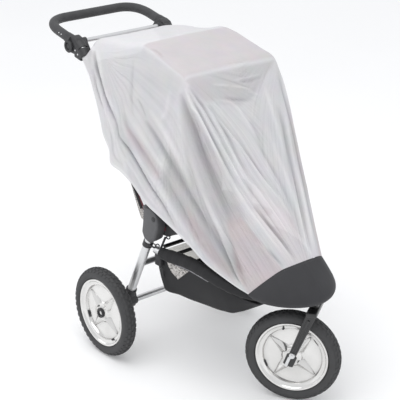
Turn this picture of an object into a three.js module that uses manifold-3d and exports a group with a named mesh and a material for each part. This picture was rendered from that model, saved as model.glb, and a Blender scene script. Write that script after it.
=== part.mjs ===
// Mosquito net draped over a plain three-wheeled stroller. Millimetres, +X forwards, +Y to the left, +Z up.
// The origin is on the ground, under the middle of the whole stroller.

import * as THREE from "three";
import { mergeVertices } from "three/addons/utils/BufferGeometryUtils.js";
import Module from "manifold-3d";

const wasm = await Module();
wasm.setup();

// Driving dimensions

const SOCKET_GAP = 0.35;
const SHEET = { net: 1.6, boot: 2.4, canopy: 2.4, basket: 4 };

const WHEEL = { axleHeight: 155, rearAxleX: -160, trackHalf: 285, frontX: 465, frontY: -5, steerDeg: 32.3 };
const WHEEL_SIDES = 28;
const RIM = { lipRadius: 119, lipHalfWidth: 20, channelRadius: 108, channelHalfWidth: 16, dishRadius: 96 };
const HUB = { radius: 32, halfWidth: 14, capRadius: 17, capDepth: 9 };

const TUBE = { main: 14, lower: 13, leg: 14.5, crossbar: 7.5, axle: 11, cross: 12 };
const FRAME_HALF_WIDTH = 185;
const MAIN_TUBE = { top: [-388, 1009], bottom: [-16, 524] };
const REAR_LEG = { top: [-25, 193, 446], bottom: [-118, 211, 214] };
const LOWER_RAIL = [
  [0, 188, 412],
  [60, 189, 414],
  [120, 188, 421],
  [190, 187, 425],
  [255, 184, 419],
  [320, 170, 404],
  [375, 148, 392],
  [425, 122, 387],
  [480, 90, 385],
  [515, 57, 384],
  [531, 26, 383],
];

const HANDLE = {
  pivot: [-428, 1027],
  halfWidth: 193,
  tiltDeg: 12.3,
  reach: 167.5,
  cornerRadius: 87,
  gripRadius: 16,
  socketDepth: 60,
};
const BAR_SIDES = 12;
const CURVE_STEPS = { handle: 32, lowerTube: 16, band: 10, ring: 10 };
const MIDDLE_TUBE_SHARE = 0.45;
const SEAT_TUBE = { x: 24, halfLength: 168 };
const CROSSBAR = { x: -413, z: 1024, halfLength: 152, capRadius: 12, capLength: 15.3 };

// The net from its rear edge to its front seam, one row for each section of the left half.
// hem is the lower edge, waist the push of the middle of the side away from a straight line,
// shoulder the edge between side and roof, and crest the shift of the centre line from the shoulder.
const NET_SECTIONS = [
  { hem: [-352, 208, 980], waist: [42, 27, 12], shoulder: [-403.4, 118, 1020], crest: [-2, 1] },
  { hem: [-325, 208, 945], waist: [15, 10, 2], shoulder: [-352, 149, 1041], crest: [4, -3] },
  { hem: [-300, 208, 890], waist: [4, 5, 0], shoulder: [-297, 158, 1053], crest: [2, -6] },
  { hem: [-281, 209, 849], waist: [0, 4, 0], shoulder: [-243, 163, 1060], crest: [0, -6] },
  { hem: [-262, 210, 798], waist: [-4, 4, 0], shoulder: [-190, 167, 1063], crest: [0, -2] },
  { hem: [-245, 212, 750], waist: [-6, 4, 0], shoulder: [-135, 171, 1072], crest: [0, 0] },
  { hem: [-211, 214, 705], waist: [-4, 4, 0], shoulder: [-78, 176, 1086], crest: [0, 3] },
  { hem: [-203, 215, 661], waist: [0, 3, 0], shoulder: [-25, 179, 1081], crest: [0, 4] },
  { hem: [-152, 213, 646], waist: [0, 3, 0], shoulder: [35, 182, 1065], crest: [0, 5] },
  { hem: [-101, 211, 623], waist: [0, 3, 0], shoulder: [95, 185, 1049], crest: [1, 5] },
  { hem: [-22, 210, 572], waist: [0, 3, 0], shoulder: [152, 187, 1031], crest: [3, 4] },
  { hem: [55, 208, 545], waist: [0, 3, 0], shoulder: [180, 187, 984], crest: [6, 3] },
  { hem: [130, 206, 519], waist: [0, 4, 0], shoulder: [206, 184, 925], crest: [8, 4] },
  { hem: [195, 203, 492], waist: [0, 4, 0], shoulder: [248, 176, 842], crest: [8, 4] },
  { hem: [257, 197, 458], waist: [2, 4, 0], shoulder: [308, 158, 731], crest: [6, 3] },
  { hem: [326, 184, 431], waist: [3, 4, 0], shoulder: [367, 137, 646], crest: [6, 3] },
  { hem: [375, 169, 410], waist: [3, 4, 2], shoulder: [426, 110, 562], crest: [8, 4] },
  { hem: [412, 153, 394], waist: [4, 6, 4], shoulder: [484, 84, 482], crest: [8, 6] },
];
const NET_STEPS = { perSection: 2, side: 10, round: 3, roof: 6 };
const NET_ROUND = 24;

// Main folds of the net. from and to are [along, across] places on the sheet: along counts the sections
// from the rear edge, and across runs from the right hem at 0 over the roof to the left hem at 1.
const NET_FOLDS = [
  { from: [3.0, 0.075], to: [9.6, 0.02], height: -9, halfWidth: 24 },
  { from: [5.0, 0.04], to: [8.2, 0.03], height: 6, halfWidth: 16 },
  { from: [10.2, 0.24], to: [16.9, 0.08], height: 9, halfWidth: 22 },
  { from: [10.1, 0.2], to: [15.6, 0.03], height: -8, halfWidth: 24 },
  { from: [10.3, 0.3], to: [16.8, 0.2], height: -7, halfWidth: 22 },
  { from: [10.5, 0.34], to: [16.8, 0.46], height: 6, halfWidth: 24 },
  { from: [10.6, 0.33], to: [16.8, 0.37], height: -6, halfWidth: 20 },
  { from: [12.5, 0.55], to: [16.8, 0.6], height: -6, halfWidth: 26 },
  { from: [11.5, 0.66], to: [16.8, 0.7], height: 6, halfWidth: 24 },
  { from: [6.6, 0.22], to: [8.8, 0.04], height: -7, halfWidth: 26 },
  { from: [7.8, 0.2], to: [11.2, 0.03], height: 7, halfWidth: 26 },
  { from: [9.0, 0.2], to: [12.8, 0.03], height: -6, halfWidth: 22 },
  { from: [3.2, 0.93], to: [9.2, 0.97], height: -8, halfWidth: 24 },
  { from: [10.2, 0.77], to: [16.9, 0.91], height: 8, halfWidth: 22 },
  { from: [10.1, 0.81], to: [14.8, 0.97], height: -7, halfWidth: 24 },
  { from: [7.4, 0.79], to: [10.2, 0.97], height: 6, halfWidth: 26 },
  { from: [8.8, 0.8], to: [12.6, 0.97], height: -6, halfWidth: 24 },
];

const BOOT = {
  seamGap: 1,
  heel: [412, 151, 380],
  controlFront: 206,
  controlHalfWidth: 157,
  controlHeight: [386, 402],
  rimFront: 166,
  rimHalfWidth: 143,
  rimHeight: 367,
  squareness: 1.85,
  stepsAlong: 6,
};

const CANOPY_SECTIONS = [
  { x: -84, halfWidth: 169, top: 1074, bottom: 1040 },
  { x: -76, halfWidth: 171, top: 1081, bottom: 1030 },
  { x: -30, halfWidth: 173, top: 1076, bottom: 890 },
  { x: -10, halfWidth: 174, top: 1071, bottom: 826 },
  { x: 35, halfWidth: 176, top: 1060, bottom: 870 },
  { x: 95, halfWidth: 179, top: 1044, bottom: 930 },
  { x: 150, halfWidth: 181, top: 1027, bottom: 985 },
];
const CANOPY_ROUND = 26;
const CANOPY_ARM = { top: [-6, 168.3, 850], bottom: [-146, 181, 690], size: [16, 5] };

const SEAT = { halfWidth: 170.6, baseHalfWidth: 171.5, legHalfWidth: 132 };
const SEAT_BACK_OUTLINE = [
  [-338, 975], [-352, 958], [-262, 800], [-170, 628], [-150, 590], [-110, 522], [-78, 508], [-74, 560], [-142, 668], [-318, 972],
];
const SEAT_BASE_OUTLINE = [
  [-74, 505], [-70, 462], [-30, 446], [10, 440], [40, 441], [62, 462], [98, 488], [176, 492], [176, 512], [160, 516], [40, 508], [-60, 516],
];
const LEG_REST_OUTLINE = [
  [176.35, 476], [240, 440], [320, 412], [322, 426], [246, 456], [176.35, 505],
];
const FOOT_PLATE = { back: 323, front: 499.6, backHalfWidth: 132, frontHalfWidth: 46, bottom: 392, top: 400 };

const BAND = { radius: 20, gap: 1.6, start: 0.07, end: 0.6 };
const RAIL_SOCKET = { gap: 1.4, depth: 60 };
const BASKET_SECTIONS = [
  { x: -16, rim: 380, rimHalf: 166, bottom: 268, floorHalf: 128 },
  { x: 6, rim: 386, rimHalf: 170, bottom: 250, floorHalf: 136 },
  { x: 60, rim: 394.7, rimHalf: 186, bottom: 251, floorHalf: 138 },
  { x: 120, rim: 399, rimHalf: 187, bottom: 256, floorHalf: 139 },
  { x: 190, rim: 403, rimHalf: 186, bottom: 265, floorHalf: 138 },
  { x: 255, rim: 397, rimHalf: 182, bottom: 268, floorHalf: 135 },
  { x: 310, rim: 383, rimHalf: 170, bottom: 274, floorHalf: 130 },
  { x: 352, rim: 370, rimHalf: 156, bottom: 290, floorHalf: 122 },
  { x: 400, rim: 358, rimHalf: 134, bottom: 322, floorHalf: 110 },
  { x: 422, rim: 355, rimHalf: 124, bottom: 342, floorHalf: 104 },
];

const HINGE_BLOCK = {
  outline: [[-56, 532], [-36, 556], [-2, 549], [22, 530], [40, 506], [42, 466], [28, 430], [27, 397], [-14, 394], [-38, 420], [-46, 467]],
  inner: 172,
  outer: 211,
};
const BRACKET = {
  outline: [[-466, 1014], [-450, 1034], [-424, 1046], [-398, 1040], [-374, 1014], [-374, 979], [-402, 984], [-434, 986], [-456, 996]],
  inner: 168,
  outer: 203,
};
const KNOB = { at: [-434, 1009], radius: 22, depth: 9 };
const AXLE_BRACKET = { size: [64, 34, 60], centre: [-135, 208, 192], bossRadius: 14, tubeDrop: 16 };
const HEAD = { size: [56, 60, 40], centre: [528, 0, 381] };
const FORK = {
  crown: [529, 20, 334],
  crownSize: [34, 104, 16],
  bladeOffset: 45,
  bladeSize: [24, 11],
  stemRadius: 13,
  axleRadius: 7,
};

// Materials

function paint(name, color, roughness, metalness = 0) {
  return new THREE.MeshStandardMaterial({ name, color, roughness, metalness });
}

const MATERIAL = {
  net: paint("net", 0xdcdbdc, 0.9),
  boot: paint("boot_cloth", 0x434345, 0.85),
  grip: paint("foam_grip", 0x505052, 0.8),
  plastic: paint("black_plastic", 0x3a3a3c, 0.55),
  grey: paint("grey_plastic", 0x5c5c5e, 0.5),
  alloy: paint("alloy_tube", 0xc2c2c2, 0.35, 0.8),
  wheel: paint("cast_wheel", 0xd9d8d6, 0.25, 0.85),
  tyre: paint("tyre_rubber", 0x3f3f40, 0.85),
  canopy: paint("canopy_cloth", 0x8f6f72, 0.85),
  seat: paint("seat_cloth", 0x57383d, 0.85),
  basket: paint("basket_cloth", 0x323234, 0.9),
};

// Geometry helpers

function namedMesh(name, geometry, material) {
  const mesh = new THREE.Mesh(geometry, material);
  mesh.name = name;
  return mesh;
}

function toSolid(geometry) {
  const bare = geometry.clone();
  bare.deleteAttribute("normal");
  bare.deleteAttribute("uv");
  const merged = mergeVertices(bare, 1e-3);
  const vertProperties = new Float32Array(merged.attributes.position.array);
  const triVerts = new Uint32Array(merged.index.array);
  return new wasm.Manifold(new wasm.Mesh({ numProp: 3, vertProperties, triVerts }));
}

function toGeometry(solid) {
  const mesh = solid.getMesh();
  const geometry = new THREE.BufferGeometry();
  geometry.setAttribute("position", new THREE.BufferAttribute(new Float32Array(mesh.vertProperties), 3));
  geometry.setIndex(new THREE.BufferAttribute(new Uint32Array(mesh.triVerts), 1));
  geometry.computeVertexNormals();
  return geometry;
}

function join(...geometries) {
  return toGeometry(geometries.map(toSolid).reduce((whole, piece) => whole.add(piece)));
}

function cut(geometry, ...tools) {
  return toGeometry(tools.map(toSolid).reduce((whole, tool) => whole.subtract(tool), toSolid(geometry)));
}

function mirrored(geometry) {
  const flipped = geometry.clone().applyMatrix4(new THREE.Matrix4().makeScale(1, -1, 1));
  const index = flipped.index ? Array.from(flipped.index.array) : [...Array(flipped.attributes.position.count).keys()];
  for (let corner = 0; corner < index.length; corner += 3) {
    [index[corner], index[corner + 1]] = [index[corner + 1], index[corner]];
  }
  flipped.setIndex(index);
  return flipped;
}

// A straight round bar from one point to another, lengthened by extra at both ends.
function bar(from, to, radius, { sides = BAR_SIDES, extra = 0 } = {}) {
  const start = new THREE.Vector3(...from);
  const end = new THREE.Vector3(...to);
  const direction = end.clone().sub(start);
  const length = direction.length();
  const geometry = new THREE.CylinderGeometry(radius, radius, length + 2 * extra, sides);
  geometry.applyQuaternion(new THREE.Quaternion().setFromUnitVectors(new THREE.Vector3(0, 1, 0), direction.normalize()));
  const middle = start.add(end).multiplyScalar(0.5);
  return geometry.translate(middle.x, middle.y, middle.z);
}

// The room that a bar needs in the piece that holds it.
function socket(from, to, radius) {
  return bar(from, to, radius + SOCKET_GAP, { extra: SOCKET_GAP });
}

function circle(radius, sides) {
  const shape = new THREE.Shape();
  for (let side = 0; side < sides; side += 1) {
    const angle = (2 * Math.PI * side) / sides;
    const point = [radius * Math.cos(angle), radius * Math.sin(angle)];
    if (side === 0) shape.moveTo(...point);
    else shape.lineTo(...point);
  }
  return shape;
}

function bentTube(curve, radius, steps) {
  return new THREE.ExtrudeGeometry(circle(radius, CURVE_STEPS.ring), { extrudePath: curve, steps, bevelEnabled: false });
}

// A plate with its outline in the XZ plane, from one Y to another.
function sidePlate(outline, inner, outer) {
  const shape = new THREE.Shape(outline.map(([x, z]) => new THREE.Vector2(x, z)));
  const plate = new THREE.ExtrudeGeometry(shape, { depth: outer - inner, bevelEnabled: false });
  return plate.rotateX(Math.PI / 2).translate(0, outer, 0);
}

function box(size, centre) {
  return new THREE.BoxGeometry(...size).translate(...centre);
}

// A closed sheet from a grid of middle points: each point moves half the thickness to both sides along its normal.
function sheetFromGrid(rows, thickness, normals = gridNormals(rows)) {
  const rowCount = rows.length;
  const columnCount = rows[0].length;
  const positions = [];
  for (const side of [0.5, -0.5]) {
    rows.forEach((row, i) =>
      row.forEach((point, j) => {
        const moved = point.clone().addScaledVector(normals[i][j], side * thickness);
        positions.push(moved.x, moved.y, moved.z);
      })
    );
  }
  const under = rowCount * columnCount;
  const at = (i, j) => i * columnCount + j;
  const index = [];
  const quad = (a, b, c, d) => index.push(a, b, c, a, c, d);
  for (let i = 0; i < rowCount - 1; i += 1) {
    for (let j = 0; j < columnCount - 1; j += 1) {
      quad(at(i, j), at(i + 1, j), at(i + 1, j + 1), at(i, j + 1));
      quad(under + at(i, j), under + at(i, j + 1), under + at(i + 1, j + 1), under + at(i + 1, j));
    }
  }
  const rim = (a, b) => quad(b, a, under + a, under + b);
  for (let j = 0; j < columnCount - 1; j += 1) {
    rim(at(0, j + 1), at(0, j));
    rim(at(rowCount - 1, j), at(rowCount - 1, j + 1));
  }
  for (let i = 0; i < rowCount - 1; i += 1) {
    rim(at(i, 0), at(i + 1, 0));
    rim(at(i + 1, columnCount - 1), at(i, columnCount - 1));
  }
  const geometry = new THREE.BufferGeometry();
  geometry.setAttribute("position", new THREE.Float32BufferAttribute(positions, 3));
  geometry.setIndex(index);
  geometry.computeVertexNormals();
  return geometry;
}

function gridNormals(rows) {
  const lastRow = rows.length - 1;
  const lastColumn = rows[0].length - 1;
  return rows.map((row, i) =>
    row.map((_, j) => {
      const along = rows[Math.min(i + 1, lastRow)][j].clone().sub(rows[Math.max(i - 1, 0)][j]);
      const across = rows[i][Math.min(j + 1, lastColumn)].clone().sub(rows[i][Math.max(j - 1, 0)]);
      return along.cross(across).normalize();
    })
  );
}

// Net

function curveThrough(points) {
  return new THREE.CatmullRomCurve3(points.map((point) => new THREE.Vector3(...point)), false, "centripetal");
}

const netCurves = {
  hem: curveThrough(NET_SECTIONS.map((row) => row.hem)),
  waist: curveThrough(NET_SECTIONS.map((row) => row.hem.map((value, k) => (value + row.shoulder[k]) / 2 + row.waist[k]))),
  shoulder: curveThrough(NET_SECTIONS.map((row) => row.shoulder)),
  crest: curveThrough(NET_SECTIONS.map((row) => [row.shoulder[0] + row.crest[0], 0, row.shoulder[2] + row.crest[1]])),
};

function quadratic(a, b, c, t) {
  return new THREE.Vector3()
    .addScaledVector(a, (1 - t) * (1 - t))
    .addScaledVector(b, 2 * t * (1 - t))
    .addScaledVector(c, t * t);
}

// Half of one section of the net, from the hem up over the shoulder to the centre line.
function netHalfSection(t) {
  const hem = netCurves.hem.getPoint(t);
  const waist = netCurves.waist.getPoint(t);
  const shoulder = netCurves.shoulder.getPoint(t);
  const crest = netCurves.crest.getPoint(t);
  const bend = waist.clone().multiplyScalar(2).addScaledVector(hem, -0.5).addScaledVector(shoulder, -0.5);
  const turnSide = 1 - NET_ROUND / hem.distanceTo(shoulder);
  const turnRoof = NET_ROUND / shoulder.distanceTo(crest);
  const sideEnd = quadratic(hem, bend, shoulder, turnSide);
  const roofStart = shoulder.clone().lerp(crest, turnRoof);
  const points = [];
  for (let k = 0; k < NET_STEPS.side; k += 1) {
    points.push(quadratic(hem, bend, shoulder, (turnSide * k) / NET_STEPS.side));
  }
  for (let k = 0; k < NET_STEPS.round; k += 1) {
    points.push(quadratic(sideEnd, shoulder, roofStart, k / NET_STEPS.round));
  }
  for (let k = 0; k <= NET_STEPS.roof; k += 1) {
    points.push(roofStart.clone().lerp(crest, k / NET_STEPS.roof));
  }
  return points;
}

function netSection(t) {
  const left = netHalfSection(t);
  const right = left.slice(0, -1).map((point) => new THREE.Vector3(point.x, -point.y, point.z));
  return [...right, ...left.reverse()];
}

function smoothNetRows() {
  const count = (NET_SECTIONS.length - 1) * NET_STEPS.perSection;
  return Array.from({ length: count + 1 }, (_, i) => netSection(i / count));
}

// The middle line of a fold, as points on the smooth sheet.
function foldLine(rows, fold) {
  const samples = 12;
  const lastColumn = rows[0].length - 1;
  return Array.from({ length: samples + 1 }, (_, k) => {
    const share = k / samples;
    const along = THREE.MathUtils.lerp(fold.from[0], fold.to[0], share) * NET_STEPS.perSection;
    const across = THREE.MathUtils.lerp(fold.from[1], fold.to[1], share) * lastColumn;
    const i = Math.min(Math.floor(along), rows.length - 2);
    const j = Math.min(Math.floor(across), lastColumn - 1);
    const near = rows[i][j].clone().lerp(rows[i][j + 1], across - j);
    const far = rows[i + 1][j].clone().lerp(rows[i + 1][j + 1], across - j);
    return { point: near.lerp(far, along - i), share };
  });
}

function foldRise(point, line, fold) {
  let nearest = line[0];
  for (const sample of line) {
    if (sample.point.distanceTo(point) < nearest.point.distanceTo(point)) nearest = sample;
  }
  const distance = nearest.point.distanceTo(point) / fold.halfWidth;
  const fade = Math.sin(Math.PI * THREE.MathUtils.clamp(nearest.share, 0.08, 0.92));
  return fold.height * fade * Math.exp(-distance * distance);
}

function netRows() {
  const rows = smoothNetRows();
  const normals = gridNormals(rows);
  const lines = NET_FOLDS.map((fold) => foldLine(rows, fold));
  return rows.map((row, i) =>
    row.map((point, j) => {
      const isSeam = i === rows.length - 1;
      const rise = isSeam ? 0 : NET_FOLDS.reduce((sum, fold, k) => sum + foldRise(point, lines[k], fold), 0);
      return point.clone().addScaledVector(normals[i][j], rise);
    })
  );
}

function netBody() {
  return namedMesh("net_body", sheetFromGrid(netRows(), SHEET.net), MATERIAL.net);
}

// Foot boot: a cup that starts at the net's front seam, bulges over the toes and turns under them.

function bootPlan(angle, front, halfWidth, height) {
  const power = 2 / BOOT.squareness;
  const x = BOOT.heel[0] + front * Math.pow(Math.abs(Math.cos(angle)), power);
  const y = Math.sign(Math.sin(angle)) * halfWidth * Math.pow(Math.abs(Math.sin(angle)), power);
  return new THREE.Vector3(x, y, height);
}

function footBoot() {
  const seam = netSection(1);
  const before = netSection(1 - 0.01);
  const heelHeight = BOOT.heel[2];
  const rows = [];
  for (let i = 0; i <= BOOT.stepsAlong; i += 1) {
    rows.push(
      seam.map((point, j) => {
        const share = j / (seam.length - 1);
        const angle = (share - 0.5) * Math.PI;
        const level = Math.pow(Math.cos(angle), 0.6);
        const onward = point.clone().sub(before[j]).normalize();
        const start = point.clone().addScaledVector(onward, BOOT.seamGap);
        const controlHeight = THREE.MathUtils.lerp(BOOT.controlHeight[0], BOOT.controlHeight[1], level);
        const control = bootPlan(angle, BOOT.controlFront, BOOT.controlHalfWidth, controlHeight);
        const rimHeight = THREE.MathUtils.lerp(heelHeight, BOOT.rimHeight, Math.min(1, 2 * level));
        const rim = bootPlan(angle, BOOT.rimFront, BOOT.rimHalfWidth, rimHeight);
        return quadratic(start, control, rim, i / BOOT.stepsAlong);
      })
    );
  }
  const normals = gridNormals(rows);
  normals[0] = gridNormals([before, seam])[1];
  return namedMesh("foot_boot", sheetFromGrid(rows, SHEET.boot, normals), MATERIAL.boot);
}

// Canopy under the net: one bent sheet with its bows sewn in, lowest at the pivot of its side.

function canopyRow({ x, halfWidth, top, bottom }) {
  const sideSteps = 4;
  const roundSteps = 3;
  const roofSteps = 3;
  const crown = 4;
  const low = new THREE.Vector3(x, halfWidth, bottom);
  const corner = new THREE.Vector3(x, halfWidth, top);
  const sideTop = new THREE.Vector3(x, halfWidth, Math.max(top - CANOPY_ROUND, bottom + 1));
  const roofSide = new THREE.Vector3(x, halfWidth - CANOPY_ROUND, top);
  const centre = new THREE.Vector3(x, 0, top + crown);
  const left = [];
  for (let k = 0; k < sideSteps; k += 1) left.push(low.clone().lerp(sideTop, k / sideSteps));
  for (let k = 0; k < roundSteps; k += 1) left.push(quadratic(sideTop, corner, roofSide, k / roundSteps));
  for (let k = 0; k <= roofSteps; k += 1) left.push(roofSide.clone().lerp(centre, k / roofSteps));
  const right = left.slice(0, -1).map((point) => new THREE.Vector3(point.x, -point.y, point.z));
  return [...right, ...left.reverse()];
}

function canopy() {
  const rows = CANOPY_SECTIONS.map(canopyRow);
  return namedMesh("canopy", sheetFromGrid(rows, SHEET.canopy), MATERIAL.canopy);
}

function canopyArm() {
  const from = new THREE.Vector3(...CANOPY_ARM.top);
  const to = new THREE.Vector3(...CANOPY_ARM.bottom);
  const direction = to.clone().sub(from);
  const [width, depth] = CANOPY_ARM.size;
  const arm = new THREE.BoxGeometry(width, depth, direction.length());
  const forward = direction.clone().normalize();
  const sideways = new THREE.Vector3(0, 1, 0).addScaledVector(forward, -forward.y).normalize();
  const basis = new THREE.Matrix4().makeBasis(sideways.clone().cross(forward), sideways, forward);
  const middle = from.clone().add(to).multiplyScalar(0.5);
  arm.applyMatrix4(basis).translate(middle.x, middle.y, middle.z);
  return cut(arm, socket(...mainTubeEnds(), TUBE.main));
}

// Frame

function mainTubeEnds() {
  const [topX, topZ] = MAIN_TUBE.top;
  const [bottomX, bottomZ] = MAIN_TUBE.bottom;
  return [[topX, FRAME_HALF_WIDTH, topZ], [bottomX, FRAME_HALF_WIDTH, bottomZ]];
}

function handlePath() {
  const { halfWidth, reach, cornerRadius } = HANDLE;
  const straight = reach - cornerRadius;
  const inner = halfWidth - cornerRadius;
  const path = new THREE.CurvePath();
  const flat = (along, across) => new THREE.Vector3(along, across, 0);
  const corner = (sign) => (a, b) => new THREE.QuadraticBezierCurve3(a, flat(reach, sign * halfWidth), b);
  path.add(new THREE.LineCurve3(flat(0, halfWidth), flat(straight, halfWidth)));
  path.add(corner(1)(flat(straight, halfWidth), flat(reach, inner)));
  path.add(new THREE.LineCurve3(flat(reach, inner), flat(reach, -inner)));
  path.add(corner(-1)(flat(reach, -inner), flat(straight, -halfWidth)));
  path.add(new THREE.LineCurve3(flat(straight, -halfWidth), flat(0, -halfWidth)));
  return new THREE.CatmullRomCurve3(path.getSpacedPoints(CURVE_STEPS.handle), false, "centripetal");
}

function placeHandle(geometry) {
  const tilt = THREE.MathUtils.degToRad(HANDLE.tiltDeg);
  const [pivotX, pivotZ] = HANDLE.pivot;
  return geometry.rotateZ(Math.PI).rotateY(tilt).translate(pivotX, 0, pivotZ);
}

function handleGrip() {
  return namedMesh("handle_grip", placeHandle(bentTube(handlePath(), HANDLE.gripRadius, CURVE_STEPS.handle)), MATERIAL.grip);
}

function handleSocket() {
  const { halfWidth, gripRadius, socketDepth } = HANDLE;
  const end = [-SOCKET_GAP, halfWidth, 0];
  return placeHandle(bar(end, [socketDepth, halfWidth, 0], gripRadius + 2 * SOCKET_GAP, { sides: 16 }));
}

function handleBracket() {
  const plate = sidePlate(BRACKET.outline, BRACKET.inner, BRACKET.outer);
  const [knobX, knobZ] = KNOB.at;
  const outside = BRACKET.outer - 1;
  const knob = bar([knobX, outside, knobZ], [knobX, BRACKET.outer + KNOB.depth, knobZ], KNOB.radius, { sides: 20 });
  const grip = mirrored(handleSocket());
  return cut(join(plate, knob), socket(...mainTubeEnds(), TUBE.main), handleSocket(), grip);
}

function crossbar() {
  const { x, z, halfLength } = CROSSBAR;
  return namedMesh("crossbar", bar([x, -halfLength, z], [x, halfLength, z], TUBE.crossbar), MATERIAL.alloy);
}

function crossbarCap() {
  const { x, z, halfLength, capRadius, capLength } = CROSSBAR;
  const start = halfLength + SOCKET_GAP;
  return bar([x, start, z], [x, start + capLength, z], capRadius, { sides: 14 });
}

function lowerRailCurve() {
  return curveThrough(LOWER_RAIL);
}

function lowerTube() {
  const headRoom = box(HEAD.size.map((side) => side + 2 * SOCKET_GAP), HEAD.centre);
  return cut(bentTube(lowerRailCurve(), TUBE.lower, CURVE_STEPS.lowerTube), headRoom);
}

function basketBand() {
  const rail = lowerRailCurve();
  const share = (k) => THREE.MathUtils.lerp(BAND.start, BAND.end, k / CURVE_STEPS.band);
  const points = Array.from({ length: CURVE_STEPS.band + 1 }, (_, k) => rail.getPoint(share(k)));
  const ring = circle(BAND.radius, CURVE_STEPS.ring);
  ring.holes.push(circle(TUBE.lower + BAND.gap, CURVE_STEPS.ring));
  const curve = new THREE.CatmullRomCurve3(points, false, "centripetal");
  return new THREE.ExtrudeGeometry(ring, { extrudePath: curve, steps: CURVE_STEPS.band, bevelEnabled: false });
}

function hingeBlock() {
  const plate = sidePlate(HINGE_BLOCK.outline, HINGE_BLOCK.inner, HINGE_BLOCK.outer);
  const rail = lowerRailCurve();
  const start = rail.getPoint(0);
  const along = start.clone().sub(rail.getPoint(0.05)).normalize();
  const railEnd = start.clone().addScaledVector(along, SOCKET_GAP);
  const railMouth = start.clone().addScaledVector(along, -RAIL_SOCKET.depth);
  const railSocket = bar(railEnd.toArray(), railMouth.toArray(), TUBE.lower + RAIL_SOCKET.gap);
  return cut(
    plate,
    socket(...mainTubeEnds(), TUBE.main),
    socket(REAR_LEG.top, REAR_LEG.bottom, TUBE.leg),
    railSocket
  );
}

function rearLeg() {
  return bar(REAR_LEG.top, REAR_LEG.bottom, TUBE.leg);
}

function axleBracket() {
  const { size, centre, bossRadius } = AXLE_BRACKET;
  const hubFace = WHEEL.trackHalf - HUB.halfWidth - SOCKET_GAP;
  const boss = bar([WHEEL.rearAxleX, centre[1], WHEEL.axleHeight], [WHEEL.rearAxleX, hubFace, WHEEL.axleHeight], bossRadius);
  const block = join(box(size, centre), boss);
  return cut(block, socket(REAR_LEG.top, REAR_LEG.bottom, TUBE.leg));
}

function crossTube(x, z, halfLength, radius) {
  return bar([x, -halfLength, z], [x, halfLength, z], radius);
}

function rearAxleTube() {
  const [x, y, z] = AXLE_BRACKET.centre;
  const halfLength = y - AXLE_BRACKET.size[1] / 2 - SOCKET_GAP;
  return namedMesh("rear_axle_tube", crossTube(x, z - AXLE_BRACKET.tubeDrop, halfLength, TUBE.axle), MATERIAL.alloy);
}

function middleCrossTube() {
  const [x, y, z] = REAR_LEG.top.map((value, k) => THREE.MathUtils.lerp(value, REAR_LEG.bottom[k], MIDDLE_TUBE_SHARE));
  const tube = crossTube(x, z, y, TUBE.axle);
  const leg = socket(REAR_LEG.top, REAR_LEG.bottom, TUBE.leg);
  return namedMesh("middle_cross_tube", cut(tube, leg, mirrored(leg)), MATERIAL.alloy);
}

function seatCrossTube() {
  const seatBottom = Math.min(...SEAT_BASE_OUTLINE.map(([, z]) => z));
  const z = seatBottom - SOCKET_GAP - TUBE.cross;
  return namedMesh("seat_cross_tube", crossTube(SEAT_TUBE.x, z, SEAT_TUBE.halfLength, TUBE.cross), MATERIAL.alloy);
}

function steeringHead() {
  return namedMesh("steering_head", box(HEAD.size, HEAD.centre), MATERIAL.plastic);
}

// Fork and wheels

function steer(geometry) {
  return geometry.rotateZ(THREE.MathUtils.degToRad(WHEEL.steerDeg));
}

function fork() {
  const [crownX, crownY, crownZ] = FORK.crown;
  const steerAngle = THREE.MathUtils.degToRad(WHEEL.steerDeg);
  const wheelAxle = new THREE.Vector3(WHEEL.frontX, WHEEL.frontY, WHEEL.axleHeight);
  const sideways = new THREE.Vector3(-Math.sin(steerAngle), Math.cos(steerAngle), 0);
  const crown = steer(new THREE.BoxGeometry(...FORK.crownSize)).translate(crownX, crownY, crownZ);
  const headBottom = HEAD.centre[2] - HEAD.size[2] / 2 - SOCKET_GAP;
  const pieces = [crown, bar([crownX, crownY, crownZ], [crownX, crownY, headBottom], FORK.stemRadius, { sides: 16 })];
  const crownPoint = new THREE.Vector3(crownX, crownY, crownZ);
  for (const side of [-1, 1]) {
    const low = wheelAxle.clone().addScaledVector(sideways, side * FORK.bladeOffset);
    const high = crownPoint.clone().addScaledVector(sideways, side * FORK.bladeOffset);
    const direction = high.clone().sub(low);
    const [width, depth] = FORK.bladeSize;
    const blade = new THREE.BoxGeometry(width, depth, direction.length() + width);
    const up = direction.clone().normalize();
    const across = sideways.clone().addScaledVector(up, -up.dot(sideways)).normalize();
    const basis = new THREE.Matrix4().makeBasis(across.clone().cross(up), across, up);
    const middle = low.clone().add(high).multiplyScalar(0.5).addScaledVector(up, -width / 4);
    pieces.push(blade.applyMatrix4(basis).translate(middle.x, middle.y, middle.z));
    const hubSide = wheelAxle.clone().addScaledVector(sideways, side * (HUB.halfWidth + SOCKET_GAP));
    pieces.push(bar(hubSide.toArray(), low.toArray(), FORK.axleRadius));
    const boltHead = low.clone().addScaledVector(sideways, side * (depth / 2 + 5));
    pieces.push(bar(low.toArray(), boltHead.toArray(), FORK.axleRadius + 3));
  }
  return namedMesh("fork", join(...pieces), MATERIAL.plastic);
}

// Half outlines of tyre and rim as [radius, half width]; the wheel turns about its own Y axis here.
const TYRE_TREAD = WHEEL.axleHeight / Math.cos(Math.PI / WHEEL_SIDES);
const TYRE_HALF = [[TYRE_TREAD, 6], [153.6, 11], [147.5, 18], [138, 23.5], [129, 25], [122, 22], [119.8, 15.4], [108.6, 15.4]];

// The facets are turned by half a step, so that the tyre stands on a flat one.
function latheAboutY(profile) {
  const points = profile.map(([radius, along]) => new THREE.Vector2(radius, along));
  return new THREE.LatheGeometry(points, WHEEL_SIDES, Math.PI / WHEEL_SIDES);
}

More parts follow.
